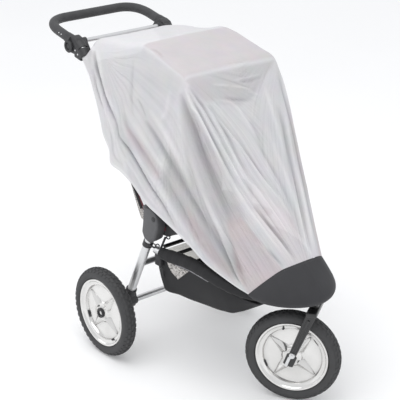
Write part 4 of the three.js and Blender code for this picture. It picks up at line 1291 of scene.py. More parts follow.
SEAT_TAG = {"centre": (0.027, 0.1745, 0.492), "size": (0.016, 0.003, 0.016), "rounding": 0.001}
FOOT_PLATE_CORNERS = [(0.323, -0.132), (0.4996, -0.046), (0.4996, 0.046), (0.323, 0.132)]
FOOT_PLATE_BOTTOM = 0.392
FOOT_PLATE_THICKNESS = 0.008
FOOT_PLATE_ROUNDING = 0.002


def pad(outline, half_width, rounding, crown):
    """A foam pad with a side outline: its faces swell between its rounded edges."""
    part = plate(outline, -half_width, half_width, rounding)
    long_edges = [e for e in part.edges if abs(e.verts[0].co.y - e.verts[1].co.y) > half_width]
    bmesh.ops.subdivide_edges(part, edges=long_edges, cuts=PAD_CUTS, use_grid_fill=True)
    part.normal_update()
    for vert in part.verts:
        reach = abs(vert.co.y) / half_width
        if reach < 0.98:
            vert.co += vert.normal * crown * math.cos(math.pi / 2 * reach) ** PAD_CROWN_POWER
    return part


def lift_wings(part, half_width):
    """Draws the underside of the base up towards its sides, as its straps do."""
    for vert in part.verts:
        aside = min(1.0, max(0.0, (abs(vert.co.y) / half_width - WINGS["from"]) / WINGS["over"]))
        low = min(1.0, max(0.0, (WINGS["top"] - vert.co.z) / WINGS["depth"]))
        ahead = min(1.0, max(0.0, (vert.co.x - WINGS["rear"]) / WINGS["run"]))
        vert.co.z += WINGS["lift"] * aside**2 * (3 - 2 * aside) * low * ahead


# fluted polypropylene board: pale and cloudy, with a painted glow (emission) that keeps it pale in the seat's
# shade
board_sheet = patchy_finish(
    "fluted_polypropylene",
    ("#cfcecb", "#e4e3e0"),
    {"Scale": 30.0, "Detail": 3.0},
    {"Roughness": 0.5, "Emission Color": linear("#e6e5e1"), "Emission Strength": BOARD_PAINTED_GLOW},
)
seat_cloth = woven_cloth("seat_polyester", "#4a1f25", "#6d2f37", SEAT_THREAD, sheen=0.3)
edge_cloth = woven_cloth("edge_polyester", "#262627", "#343436", SEAT_THREAD)
SEAT_PADS = [
    ("seat_back", SEAT_BACK_OUTLINE, SEAT_HALF_WIDTH, 0.003, seat_cloth),
    ("seat_base", SEAT_BASE_OUTLINE, SEAT_BASE_HALF_WIDTH, 0.002, edge_cloth),
    ("leg_rest", LEG_REST_OUTLINE, LEG_REST_HALF_WIDTH, 0.001, seat_cloth),
]
for node, outline, half_width, crown_rise, cloth in SEAT_PADS:
    shape = pad(outline, half_width, PAD_ROUNDING, crown_rise)
    if node == "seat_base":
        lift_wings(shape, half_width)
    cushion = rigid_piece(f"pad_{node}", shape, cloth, "seat_cloth", node)

pocket_mesh = speckled_mesh("pocket_mesh", POCKET_MESH_SCALE)
pocket_shape = pad(POCKET_OUTLINE, POCKET_HALF_WIDTH, POCKET_ROUNDING, 0.0)
pocket = rigid_piece("mesh_pocket", pocket_shape, pocket_mesh, "seat_cloth")
for side, sign in SIDES.items():
    binding = bmesh.new()
    line = [(x, sign * BINDING["across"], z) for x, z in BINDING["line"]]
    add_bent_tube(binding, line, [BINDING["radius"]] * len(line), sides=14)
    rigid_piece(f"seat_binding_{side}", binding, edge_cloth, "seat_cloth")

    tag = rounded_block(SEAT_TAG["size"], SEAT_TAG["rounding"])
    bmesh.ops.translate(tag, vec=side_of(SEAT_TAG["centre"], sign), verts=tag.verts)
    rigid_piece(f"seat_tag_{side}", tag, seat_cloth, "seat_cloth")

seat_tube = bmesh.new()
add_cross_rod(seat_tube, SEAT_TUBE)
rigid_piece("steel_seat_tube", seat_tube, powder_black, "fork_steel", "seat_cross_tube")

board = rounded_block(SEAT_BOARD["size"], SEAT_BOARD["rounding"])
length, width, height = SEAT_BOARD["size"]
for k in range(BOARD_RIBS["count"]):
    rib = {
        "x": ((k + 0.5) / BOARD_RIBS["count"] - 0.5) * length,
        "half": width / 2 - BOARD_RIBS["inset"],
        "z": height / 2,
        "radius": BOARD_RIBS["radius"],
    }
    add_cross_rod(board, rib, sides=8)
bmesh.ops.translate(board, vec=SEAT_BOARD["centre"], verts=board.verts)
rigid_piece("ribbed_seat_board", board, board_sheet, "grey_plastic")

board_bar = bmesh.new()
add_cross_rod(board_bar, BOARD_BAR)
rigid_piece("nylon_board_bar", board_bar, nylon, "black_plastic")

foot_corners = [(x, y, FOOT_PLATE_BOTTOM) for x, y in FOOT_PLATE_CORNERS]
foot_plate = slab(foot_corners, (0, 0, FOOT_PLATE_THICKNESS), FOOT_PLATE_ROUNDING, 2)
rigid_piece("nylon_foot_plate", foot_plate, nylon, "basket_cloth", "foot_plate")


# Canopy
# The stroller's own folded-out hood: red polyester sewn over bows, held by a black nylon arm at each
# side. It is seen only as a warm shade through the net.

CANOPY_SECTIONS = [
    {"x": -0.084, "half": 0.169, "top": 1.074, "bottom": 1.040},
    {"x": -0.076, "half": 0.171, "top": 1.081, "bottom": 1.030},
    {"x": -0.030, "half": 0.173, "top": 1.076, "bottom": 0.890},
    {"x": -0.010, "half": 0.174, "top": 1.071, "bottom": 0.826},
    {"x": 0.035, "half": 0.176, "top": 1.060, "bottom": 0.870},
    {"x": 0.095, "half": 0.179, "top": 1.044, "bottom": 0.930},
    {"x": 0.150, "half": 0.181, "top": 1.027, "bottom": 0.985},
]
CANOPY_ROUND = 0.026
CANOPY_CROWN = 0.004
CANOPY_GRID = (60, 36)
CANOPY_WALL = 0.0016
CANOPY_SIDE_END = 0.4
CANOPY_TURN = 0.2
CANOPY_ARM = {"top": (-0.006, 0.1683, 0.850), "bottom": (-0.140, 0.1805, 0.697), "size": (0.016, 0.005)}
CANOPY_ARM_ROUNDING = 0.0018


def canopy_point(across, along):
    """A point of the hood: across from right edge over the roof to left, along from rear to front."""
    place = along * (len(CANOPY_SECTIONS) - 1)
    k = min(int(place), len(CANOPY_SECTIONS) - 2)
    x, half, top, bottom = (
        CANOPY_SECTIONS[k][key] * (1 - place + k) + CANOPY_SECTIONS[k + 1][key] * (place - k)
        for key in ("x", "half", "top", "bottom")
    )
    y = -half if across < 0.5 else half
    inner = math.copysign(half - CANOPY_ROUND, y)
    rise = 1 - abs(across - 0.5) * 2
    side_top = Vector((x, y, max(top - CANOPY_ROUND, bottom + 0.001)))
    roof_side = Vector((x, inner, top))
    if rise < CANOPY_SIDE_END:
        return mix(Vector((x, y, bottom)), side_top, rise / CANOPY_SIDE_END)
    rise -= CANOPY_SIDE_END
    if rise < CANOPY_TURN:
        return arc_point(side_top, Vector((x, y, top)), roof_side, rise / CANOPY_TURN)
    roof_share = (rise - CANOPY_TURN) / (1 - CANOPY_SIDE_END - CANOPY_TURN)
    return mix(roof_side, Vector((x, 0, top + CANOPY_CROWN)), roof_share)


hood_cloth = woven_cloth("hood_polyester", "#8d5d61", "#a87478", SEAT_THREAD)
hood_shape = grid_sheet(*CANOPY_GRID, canopy_point)
hood = soft_piece("hood_canopy", hood_shape, hood_cloth, "canopy_cloth", "canopy", thickness=CANOPY_WALL)

for side, sign in SIDES.items():
    start, end = side_of(CANOPY_ARM["top"], sign), side_of(CANOPY_ARM["bottom"], sign)
    arm = rounded_block((*CANOPY_ARM["size"], (end - start).length), CANOPY_ARM_ROUNDING)
    forward = (end - start).normalized()
    sideways = (Vector((0, 1, 0)) - forward * forward.y).normalized()
    turn = Matrix((sideways.cross(forward), sideways, forward)).transposed().to_4x4()
    bmesh.ops.transform(arm, matrix=Matrix.Translation((start + end) / 2) @ turn, verts=arm.verts)
    rigid_piece(f"nylon_canopy_arm_{side}", arm, nylon, "black_plastic", f"canopy_arm_{side}")


# Net
# Fine polyester netting, sewn to a loose bag: it hangs from the crossbar over the hood, falls down the
# sides to an elastic hem and is gathered into the foot boot's seam. It is so fine that it reads as a
# pale film, denser where it folds on itself, with painted shade in its troughs and painted highlight
# on its ridges.

# Each section of the net from rear to front: its hem, how far its waist is off the middle between hem
# and shoulder, its shoulder, and how far its crest is ahead of the shoulder and above it.
NET_SECTIONS = [
    ((-0.352, 0.208, 0.980), (0.042, 0.027, 0.012), (-0.4034, 0.118, 1.020), (-0.002, 0.001)),
    ((-0.325, 0.208, 0.945), (0.015, 0.010, 0.002), (-0.352, 0.149, 1.041), (0.004, -0.003)),
    ((-0.300, 0.208, 0.890), (0.004, 0.005, 0.000), (-0.297, 0.158, 1.053), (0.002, -0.006)),
    ((-0.281, 0.209, 0.849), (0.000, 0.004, 0.000), (-0.243, 0.163, 1.060), (0.000, -0.006)),
    ((-0.262, 0.210, 0.798), (-0.004, 0.004, 0.000), (-0.190, 0.167, 1.063), (0.000, -0.002)),
    ((-0.245, 0.212, 0.750), (-0.006, 0.004, 0.000), (-0.135, 0.171, 1.072), (0.000, 0.000)),
    ((-0.211, 0.214, 0.705), (-0.004, 0.004, 0.000), (-0.078, 0.176, 1.086), (0.000, 0.003)),
    ((-0.203, 0.215, 0.661), (0.000, 0.003, 0.000), (-0.025, 0.179, 1.081), (0.000, 0.004)),
    ((-0.152, 0.213, 0.646), (0.000, 0.003, 0.000), (0.035, 0.182, 1.065), (0.000, 0.005)),
    ((-0.101, 0.211, 0.623), (0.000, 0.003, 0.000), (0.095, 0.185, 1.049), (0.001, 0.005)),
    ((-0.022, 0.210, 0.572), (0.000, 0.003, 0.000), (0.152, 0.187, 1.031), (0.003, 0.004)),
    ((0.055, 0.208, 0.545), (0.000, 0.003, 0.000), (0.180, 0.187, 0.984), (0.006, 0.003)),
    ((0.130, 0.206, 0.519), (0.000, 0.004, 0.000), (0.206, 0.184, 0.925), (0.008, 0.004)),
    ((0.195, 0.203, 0.492), (0.000, 0.004, 0.000), (0.248, 0.176, 0.842), (0.008, 0.004)),
    ((0.257, 0.197, 0.458), (0.002, 0.004, 0.000), (0.308, 0.158, 0.731), (0.006, 0.003)),
    ((0.326, 0.184, 0.431), (0.003, 0.004, 0.000), (0.367, 0.137, 0.646), (0.006, 0.003)),
    ((0.375, 0.169, 0.410), (0.003, 0.004, 0.002), (0.426, 0.110, 0.562), (0.008, 0.004)),
    ((0.412, 0.153, 0.394), (0.004, 0.006, 0.004), (0.484, 0.084, 0.482), (0.008, 0.006)),
]
NET_ROUND = 0.024
NET_SIDE_END = 10 / 19
NET_ROUND_END = 13 / 19
NET_ROWS = (len(NET_SECTIONS) - 1) * 16
NET_COLUMNS = 360

# Folds of the net, as lines of [along, across] places: along counts the sections from the rear edge,
# across runs from the right hem at 0 over the roof to the left hem at 1. Each row starts with the
# fold's height, which is a ridge above the sheet or, where negative, a trough, and half its width.
NET_FOLDS = [
    # along the right main tube, from the rear corner to the hem
    (-0.0100, 0.0058, [(0.9, 0.215), (1.8, 0.132), (3.2, 0.096), (4.8, 0.084), (6.6, 0.070)]),
    (-0.0095, 0.0056, [(6.0, 0.074), (7.7, 0.060), (9.3, 0.044), (10.8, 0.030), (12.0, 0.007)]),
    (0.0040, 0.0080, [(1.2, 0.225), (3.2, 0.112), (5.0, 0.100), (7.0, 0.086)]),
    (-0.0045, 0.0055, [(1.4, 0.080), (2.3, 0.048), (3.3, 0.043), (4.4, 0.055)]),
    (0.0040, 0.0060, [(2.2, 0.068), (3.6, 0.062), (5.2, 0.060), (6.8, 0.046)]),
    (-0.0035, 0.0060, [(5.0, 0.040), (6.6, 0.026), (8.2, 0.012)]),
    (0.0035, 0.0055, [(7.6, 0.036), (9.4, 0.024), (11.0, 0.012)]),
    (0.0035, 0.0060, [(8.4, 0.062), (10.2, 0.054), (12.6, 0.022)]),
    # down the right side, from the hood's corners to the heel
    (-0.0050, 0.0110, [(6.6, 0.120), (7.6, 0.094), (8.8, 0.082), (10.0, 0.074), (11.6, 0.060)]),
    (0.0040, 0.0090, [(7.7, 0.118), (9.2, 0.102), (10.8, 0.096), (12.6, 0.082), (14.0, 0.050)]),
    (-0.0040, 0.0050, [(7.4, 0.170), (8.1, 0.155), (8.6, 0.146)]),
    (-0.0075, 0.0125, [(8.5, 0.142), (9.5, 0.131), (10.5, 0.122), (12.4, 0.112), (13.8, 0.108)]),
    (-0.0060, 0.0100, [(12.6, 0.116), (13.8, 0.112), (14.6, 0.094), (15.4, 0.060), (16.2, 0.026)]),
    (0.0050, 0.0105, [(8.6, 0.166), (9.8, 0.156), (11.2, 0.148), (12.8, 0.140), (14.0, 0.130)]),
    (0.0035, 0.0065, [(10.0, 0.112), (11.6, 0.102), (13.0, 0.094), (14.2, 0.072)]),
    (-0.0040, 0.0065, [(11.0, 0.080), (12.2, 0.066), (13.6, 0.040)]),
    (0.0035, 0.0060, [(12.4, 0.050), (13.6, 0.034), (14.8, 0.014)]),
    (-0.0030, 0.0080, [(5.9, 0.235), (6.4, 0.190), (7.0, 0.155), (7.6, 0.128)]),
    (0.0025, 0.0090, [(9.4, 0.235), (9.6, 0.190), (9.4, 0.165)]),
    (-0.0030, 0.0045, [(6.9, 0.300), (7.4, 0.318), (8.0, 0.312)]),
    # from the hood's front right corner: the dark trough, the bright ridges beside it and the heel ridge
    (-0.0100, 0.0150, [(10.1, 0.246), (11.1, 0.240), (12.0, 0.244), (12.7, 0.240),
        (13.8, 0.238), (14.8, 0.224)]),
    (0.0062, 0.0052, [(10.3, 0.262), (11.4, 0.276), (11.9, 0.302), (12.9, 0.324),
        (13.6, 0.338), (14.7, 0.344)]),
    (0.0050, 0.0060, [(14.2, 0.344), (15.3, 0.345), (16.4, 0.366), (16.9, 0.386)]),
    (-0.0055, 0.0042, [(10.7, 0.280), (11.6, 0.312), (12.4, 0.334), (13.6, 0.350), (14.6, 0.358)]),
    (0.0058, 0.0048, [(11.1, 0.300), (12.0, 0.336), (12.9, 0.354), (13.9, 0.374), (15.0, 0.384)]),
    (-0.0058, 0.0050, [(10.5, 0.300), (11.3, 0.336), (11.7, 0.350), (12.4, 0.364), (13.6, 0.384)]),
    (0.0040, 0.0048, [(11.6, 0.352), (12.4, 0.370), (13.4, 0.388), (14.4, 0.398)]),
    (-0.0045, 0.0056, [(11.7, 0.370), (12.3, 0.386), (13.2, 0.404), (14.6, 0.424)]),
    (0.0060, 0.0100, [(10.8, 0.205), (12.2, 0.192), (12.9, 0.176), (13.6, 0.166), (14.3, 0.147)]),
    (0.0065, 0.0062, [(13.4, 0.170), (14.3, 0.148), (14.8, 0.118), (15.4, 0.076), (16.3, 0.030)]),
    (-0.0050, 0.0070, [(13.6, 0.190), (14.5, 0.166), (15.2, 0.132), (15.8, 0.086), (16.6, 0.036)]),
    (-0.0045, 0.0050, [(14.0, 0.136), (14.7, 0.104), (15.5, 0.058), (16.3, 0.018)]),
    # the fan across the front, to the boot's seam
    (0.0042, 0.0044, [(12.0, 0.374), (12.8, 0.405), (13.7, 0.451), (14.8, 0.503), (15.6, 0.545)]),
    (-0.0036, 0.0050, [(12.2, 0.392), (13.0, 0.426), (13.9, 0.470), (14.9, 0.520)]),
    (0.0040, 0.0052, [(12.6, 0.376), (13.5, 0.394), (14.4, 0.424), (15.4, 0.456), (16.6, 0.500)]),
    (-0.0030, 0.0060, [(13.0, 0.368), (14.0, 0.388), (15.0, 0.414), (16.2, 0.446)]),
    (-0.0070, 0.0062, [(14.9, 0.374), (15.5, 0.394), (16.2, 0.420), (16.9, 0.442)]),
    (0.0048, 0.0062, [(15.0, 0.358), (15.7, 0.372), (16.4, 0.398), (16.9, 0.416)]),
    (-0.0045, 0.0052, [(16.2, 0.300), (16.6, 0.314), (16.95, 0.328)]),
    (0.0030, 0.0060, [(15.8, 0.270), (16.3, 0.286), (16.9, 0.300)]),
    (-0.0034, 0.0100, [(12.6, 0.500), (13.4, 0.518), (14.8, 0.560), (16.2, 0.590)]),
    (0.0034, 0.0090, [(13.0, 0.560), (14.4, 0.592), (16.0, 0.600), (16.9, 0.590)]),
    (-0.0060, 0.0105, [(12.4, 0.634), (13.4, 0.638), (15.0, 0.632), (16.8, 0.612)]),
    (0.0050, 0.0080, [(12.8, 0.656), (14.3, 0.650), (16.0, 0.652), (16.9, 0.656)]),
    (-0.0050, 0.0070, [(10.9, 0.672), (12.1, 0.684), (13.4, 0.700), (15.1, 0.684), (16.6, 0.690)]),
    (0.0032, 0.0080, [(11.6, 0.600), (12.6, 0.604), (13.8, 0.612)]),
    # short creases in the slack under the hood's front bow
    (0.0032, 0.0040, [(10.8, 0.400), (11.0, 0.438), (11.1, 0.462)]),
    (0.0034, 0.0040, [(11.1, 0.466), (11.3, 0.498), (11.5, 0.540)]),
    (0.0030, 0.0042, [(10.9, 0.480), (10.9, 0.540), (10.9, 0.590)]),
    (-0.0026, 0.0042, [(11.0, 0.500), (11.1, 0.550), (11.0, 0.600)]),
    (0.0030, 0.0042, [(11.4, 0.510), (11.7, 0.540), (11.9, 0.566)]),
    (-0.0036, 0.0050, [(11.6, 0.430), (11.8, 0.470), (12.0, 0.526)]),
    (0.0040, 0.0056, [(11.6, 0.388), (11.8, 0.436), (12.1, 0.464), (12.6, 0.484), (13.2, 0.510)]),
    # the left side, which hangs much as the right one does
    (-0.0065, 0.0070, [(0.9, 0.785), (1.8, 0.868), (3.2, 0.904), (4.8, 0.918), (6.6, 0.932)]),
    (-0.0060, 0.0064, [(6.2, 0.926), (8.0, 0.942), (9.8, 0.958), (11.6, 0.988)]),
    (0.0042, 0.0084, [(1.2, 0.776), (3.2, 0.886), (5.0, 0.900), (7.0, 0.914)]),
    (0.0036, 0.0064, [(2.4, 0.934), (3.8, 0.940), (5.4, 0.944), (7.0, 0.956)]),
    (-0.0050, 0.0110, [(6.8, 0.884), (8.0, 0.908), (9.4, 0.918), (11.4, 0.936)]),
    (0.0044, 0.0094, [(8.0, 0.872), (9.6, 0.892), (11.6, 0.908), (13.6, 0.936)]),
    (-0.0070, 0.0120, [(8.6, 0.852), (10.0, 0.868), (12.0, 0.884), (13.8, 0.896)]),
    (-0.0056, 0.0096, [(12.6, 0.890), (13.9, 0.898), (15.0, 0.930), (16.2, 0.974)]),
    (0.0048, 0.0105, [(9.0, 0.832), (10.8, 0.846), (12.8, 0.858), (14.2, 0.872)]),
    (-0.0085, 0.0140, [(10.2, 0.764), (11.4, 0.768), (12.8, 0.772), (14.6, 0.790)]),
    (0.0056, 0.0062, [(10.4, 0.732), (11.8, 0.716), (13.4, 0.722), (15.0, 0.742)]),
    (0.0058, 0.0080, [(11.0, 0.800), (12.6, 0.816), (14.2, 0.850), (15.6, 0.922), (16.4, 0.970)]),
    (-0.0045, 0.0070, [(13.4, 0.816), (14.6, 0.846), (15.8, 0.908), (16.6, 0.962)]),
]
# how much painted highlight or painted shade a fold's height or depth gives the film
FOLD_SHADE_CONTRAST = 42.0
SECTION_LENGTH = 0.065
NET_GIRTH = 1.05
HEM_WIDTH = 0.007

# Fine wrinkles run out from the corners that hold the net: the crossbar's ends and the hood's front
# corners.
NET_PULLS = [
    {"corner": (0.9, 0.215), "sides": (0.0, 0.27), "end": 0.95, "height": 0.0026, "seed": 3.0},
    {"corner": (9.2, 0.285), "sides": (0.0, 0.56), "end": 0.75, "height": 0.0034, "seed": 11.0},
    {"corner": (9.2, 0.715), "sides": (0.50, 1.0), "end": 0.75, "height": 0.0034, "seed": 23.0},
    {"corner": (0.9, 0.785), "sides": (0.73, 1.0), "end": 0.95, "height": 0.0036, "seed": 37.0},
]
# how much painted highlight or painted shade the fine wrinkles give the film
PULL_SHADE_CONTRAST = 62.0
PULL_SPREADS = ((38.0, 0.55), (83.0, 0.45))
PULL_RUN = 3.5
PULL_START = 0.06
PULL_FADE = 0.20
PULL_FRONT = 0.08
PULL_EDGE = 0.03
FOLD_PIECES = 20
FOLD_FADE_POWER = 0.6
# the film's tone where it lies flat, between painted shade and painted highlight
FLAT_FOLD_SHADE = 0.52
HEM_TONE = 0.18
SEAM_ROWS = 10

# Painted shade and a painted warm tint where something shaded, darker or redder stands close behind
# the net: how far its painted shade dims the film and how far its tint warms it, how wide its soft
# edge is, and its corners, which run anticlockwise as [along, across] places.
NET_PATCHES = [
    # the hood's shaded inside under its front bow, as painted shade
    (0.30, 0.02, 0.012, [(10.1, 0.290), (11.5, 0.362), (12.1, 0.480), (11.8, 0.548), (11.0, 0.612),
        (10.3, 0.668)]),
    # the hood's front roof panel
    (0.27, 0.085, 0.014, [(6.25, 0.300), (9.95, 0.292), (10.05, 0.700), (6.25, 0.690)]),
    # the seat behind the front right corner
    (0.34, 0.035, 0.030, [(10.4, 0.232), (12.6, 0.150), (14.6, 0.186), (15.1, 0.296), (13.6, 0.345),
        (11.4, 0.268)]),
    # the red leg rest in the lower front
    (0.20, 0.17, 0.016, [(14.5, 0.196), (15.9, 0.045), (17.2, 0.000), (17.2, 0.330), (15.9, 0.296),
        (15.0, 0.284)]),
    # the leg rest's far side and the seat base, fainter
    (0.0, 0.09, 0.040, [(14.2, 0.420), (14.9, 0.350), (17.2, 0.345), (17.2, 0.580), (15.5, 0.545)]),
    # the seat's red side, low and at the back
    (0.04, 0.14, 0.020, [(12.5, 0.082), (13.0, 0.030), (14.6, 0.020), (16.0, 0.004), (15.2, 0.060),
        (13.8, 0.086)]),
    (0.06, 0.14, 0.014, [(7.2, 0.100), (7.8, 0.074), (10.2, 0.066), (10.4, 0.084), (8.9, 0.096)]),
    # the darker stroller behind the lower right side, and painted shade that keeps the side darker than the
    # lit roof
    (0.52, 0.01, 0.030, [(10.5, 0.075), (12.0, 0.045), (13.5, 0.030), (15.6, 0.030), (15.9, 0.110),
        (13.8, 0.158), (10.6, 0.140)]),
    (0.08, 0.0, 0.010, [(0.0, -0.02), (9.9, -0.02), (9.9, 0.284), (6.25, 0.286), (0.9, 0.214),
        (0.0, 0.201)]),
    # the same on the left
    (0.08, 0.0, 0.010, [(0.0, 0.799), (0.9, 0.786), (6.25, 0.714), (9.9, 0.716), (9.9, 1.02),
        (0.0, 1.02)]),
    (0.30, 0.035, 0.030, [(10.4, 0.768), (11.4, 0.732), (13.6, 0.655), (15.1, 0.704), (14.6, 0.814),
        (12.6, 0.850)]),
    (0.16, 0.15, 0.016, [(14.5, 0.804), (15.0, 0.716), (15.9, 0.704), (17.2, 0.670), (17.2, 1.000),
        (15.9, 0.955)]),
]


def net_half(along, rises):
    """Half of one section of the net as an array of points, from the hem (0) to the crest (1)."""
    hems = [row[0] for row in NET_SECTIONS]
    waists = [[(h + s) / 2 + w for h, w, s in zip(*row[:3])] for row in NET_SECTIONS]
    shoulders = [row[2] for row in NET_SECTIONS]
    crests = [(row[2][0] + row[3][0], 0, row[2][2] + row[3][1]) for row in NET_SECTIONS]
    hem, waist, shoulder, crest = (
        np.array(curve_point(points, along)) for points in (hems, waists, shoulders, crests)
    )
    bend = 2 * waist - hem / 2 - shoulder / 2
    turn_side = 1 - NET_ROUND / np.linalg.norm(shoulder - hem)
    turn_roof = NET_ROUND / np.linalg.norm(crest - shoulder)

    def arc(start, control, end, share):
        share = share[:, None]
        return start * (1 - share) ** 2 + control * 2 * share * (1 - share) + end * share**2

    side_end = arc(hem, bend, shoulder, np.array([turn_side]))[0]
    roof_start = shoulder + (crest - shoulder) * turn_roof
    side = arc(hem, bend, shoulder, turn_side * np.clip(rises / NET_SIDE_END, 0, 1))
    rounding = np.clip((rises - NET_SIDE_END) / (NET_ROUND_END - NET_SIDE_END), 0, 1)
    corner = arc(side_end, shoulder, roof_start, rounding)
    inwards = np.clip((rises - NET_ROUND_END) / (1 - NET_ROUND_END), 0, 1)
    roof = roof_start + (crest - roof_start) * inwards[:, None]
    upper = np.where((rises < NET_ROUND_END)[:, None], corner, roof)
    return np.where((rises < NET_SIDE_END)[:, None], side, upper)


def net_grid(rows, columns):
    """The smooth net as an array of points: rows from the rear edge, columns from the right hem."""
    rises = 1 - np.abs(np.linspace(-1, 1, columns + 1))
    grid = np.array([net_half(k / rows, rises) for k in range(rows + 1)])
    grid[:, : columns // 2, 1] *= -1
    return grid


def grid_normals(grid):
    """Unit normals of a grid of points, pointing out of the net."""
    normals = np.cross(np.gradient(grid, axis=0), np.gradient(grid, axis=1))
    return normals / np.linalg.norm(normals, axis=2, keepdims=True)


def on_net(grid, along, across):
    """The point of the net at a section count from the rear and a share across."""
    row = min(along / (len(NET_SECTIONS) - 1), 1) * (grid.shape[0] - 1)
    column = min(across, 1) * (grid.shape[1] - 1)
    i, j = min(int(row), grid.shape[0] - 2), min(int(column), grid.shape[1] - 2)
    near = grid[i, j] + (grid[i, j + 1] - grid[i, j]) * (column - j)
    far = grid[i + 1, j] + (grid[i + 1, j + 1] - grid[i + 1, j]) * (column - j)
    return near + (far - near) * (row - i)


def fold_shape(grid, line, half_width):
    """How strongly one fold lifts each point of the net, from 0 to 1."""
    line = [(along, across, 0.0) for along, across in line]
    rows_per_section = (grid.shape[0] - 1) / (len(NET_SECTIONS) - 1)
    first = max(0, int((min(place[0] for place in line) - 1) * rows_per_section))
    last = min(grid.shape[0], int((max(place[0] for place in line) + 1) * rows_per_section))
    near = grid[first:last]
    nearest, share_there = np.full(near.shape[:2], np.inf), np.zeros(near.shape[:2])
    places = [curve_point(line, k / FOLD_PIECES) for k in range(FOLD_PIECES + 1)]
    spots = [on_net(grid, place[0], place[1]) for place in places]
    for k, (start, end) in enumerate(zip(spots, spots[1:])):
        run = end - start
        along = np.clip((near - start) @ run / (run @ run), 0, 1)
        distance = np.linalg.norm(near - start - along[:, :, None] * run, axis=2)
        closer = distance < nearest
        nearest = np.where(closer, distance, nearest)
        share_there = np.where(closer, (k + along) / FOLD_PIECES, share_there)
    fade = np.sin(np.pi * np.clip(share_there, 0.0, 1.0)) ** FOLD_FADE_POWER
    shape = np.zeros(grid.shape[:2])
    shape[first:last] = fade * np.exp(-((nearest / half_width) ** 2))
    return shape


def pull_lines(along, across, pull):
    """Height of the fine wrinkles that spread from a corner where the net is caught."""
    ahead = (along - pull["corner"][0]) * SECTION_LENGTH
    aside = (across - pull["corner"][1]) * NET_GIRTH
    angle, reach = np.arctan2(aside, ahead), np.hypot(ahead, aside)
    lines = np.zeros(along.shape)
    for spread, share in PULL_SPREADS:
        field = [
            noise.noise(Vector((a * spread + pull["seed"], r * PULL_RUN, pull["seed"])))
            for a, r in zip(angle.ravel(), reach.ravel())
        ]
        lines += share * np.array(field).reshape(along.shape)
    grown = np.clip((reach - PULL_START) / PULL_FADE, 0, 1) * np.clip((pull["end"] - reach) / PULL_FADE, 0, 1)
    grown *= np.clip(ahead / PULL_FRONT, 0, 1)
    right, left = pull["sides"]
    within = np.clip((across - right) / PULL_EDGE, 0, 1) * np.clip((left - across) / PULL_EDGE, 0, 1)
    return pull["height"] * lines * grown * within


def patch_cover(along, across, edge, corners):
    """How much each point of the net lies over a patch, from 0 to 1, with a soft edge."""
    x, y = along * SECTION_LENGTH, across * NET_GIRTH
    corners = [(a * SECTION_LENGTH, c * NET_GIRTH) for a, c in corners]
    inside = np.full(along.shape, 1.0)
    for (x0, y0), (x1, y1) in zip(corners, corners[1:] + corners[:1]):
        run, rise = x1 - x0, y1 - y0
        inside = np.minimum(inside, (run * (y - y0) - rise * (x - x0)) / math.hypot(run, rise))
    return np.clip(inside / edge + 0.5, 0, 1)


def fine_netting():
    """Polyester tulle: a matt white film with a faint weave; folds are denser, with painted highlight on
    their ridges and painted shade in their troughs, and painted shade and a warm tint stand for the dark
    red seat and hood behind it."""
    material, surface = new_material("polyester_netting")
    place = add_node(material, "TexCoord").outputs["Object"]
    fold, behind, warmth = (
        add_node(material, "Attribute", attribute_name=name).outputs["Fac"]
        for name in ("fold", "behind", "warmth")
    )
    haze = add_node(material, "TexNoise", {"Vector": place, "Scale": 14.0, "Detail": 7.0, "Roughness": 0.65})
    # the real mesh has a hole about every millimetre, which is drawn at two so that it shows
    threads = add_node(material, "TexNoise", {"Vector": place, "Scale": 480.0, "Detail": 3.0})
    # painted shade and highlight: the fold tone runs from grey in the troughs to near white on the ridges
    shade = add_node(material, "ValToRGB", {"Fac": fold})
    stops = shade.color_ramp.elements
    stops[0].color, stops[1].color = linear("#858488"), linear("#e7e6e6")
    for position, colour in ((0.30, "#aeadb0"), (0.46, "#c5c4c6"), (0.56, "#cecdcf"), (0.74, "#dbdadb")):
        stops.new(position).color = linear(colour)
    tone = shade.outputs["Color"]
    # painted shade from the patches behind the net, then their warm tint, then a faint random haze
    for share, colour, blend in (
        (behind, linear("#9b9a9a"), "MIX"),
        (warmth, linear("#c08d92"), "MIX"),
        (0.16, haze.outputs["Color"], "SOFT_LIGHT"),
    ):
        layer = {0: share, 6: tone, 7: colour}
        tone = add_node(material, "Mix", layer, data_type="RGBA", blend_type=blend).outputs[2]
    dense = add_node(material, "MapRange", {"Value": haze.outputs["Fac"], "To Min": 0.90, "To Max": 0.975})
    bump = add_node(material, "Bump", {"Height": threads.outputs["Fac"], "Strength": 0.3, "Distance": 0.0006})
    shader = add_node(
        material,
        "BsdfPrincipled",
        {
            "Base Color": tone,
            "Roughness": 0.85,
            "Sheen Weight": 0.15,
            "Alpha": dense.outputs["Result"],
            "Normal": bump.outputs["Normal"],
        },
    )
    return finish_material(material, surface, shader)


smooth_net = net_grid(NET_ROWS, NET_COLUMNS)
net_normals = grid_normals(smooth_net)
net_along, net_across = np.meshgrid(
    np.linspace(0, len(NET_SECTIONS) - 1, NET_ROWS + 1), np.linspace(0, 1, NET_COLUMNS + 1), indexing="ij"
)
net_rise = np.zeros(smooth_net.shape[:2])
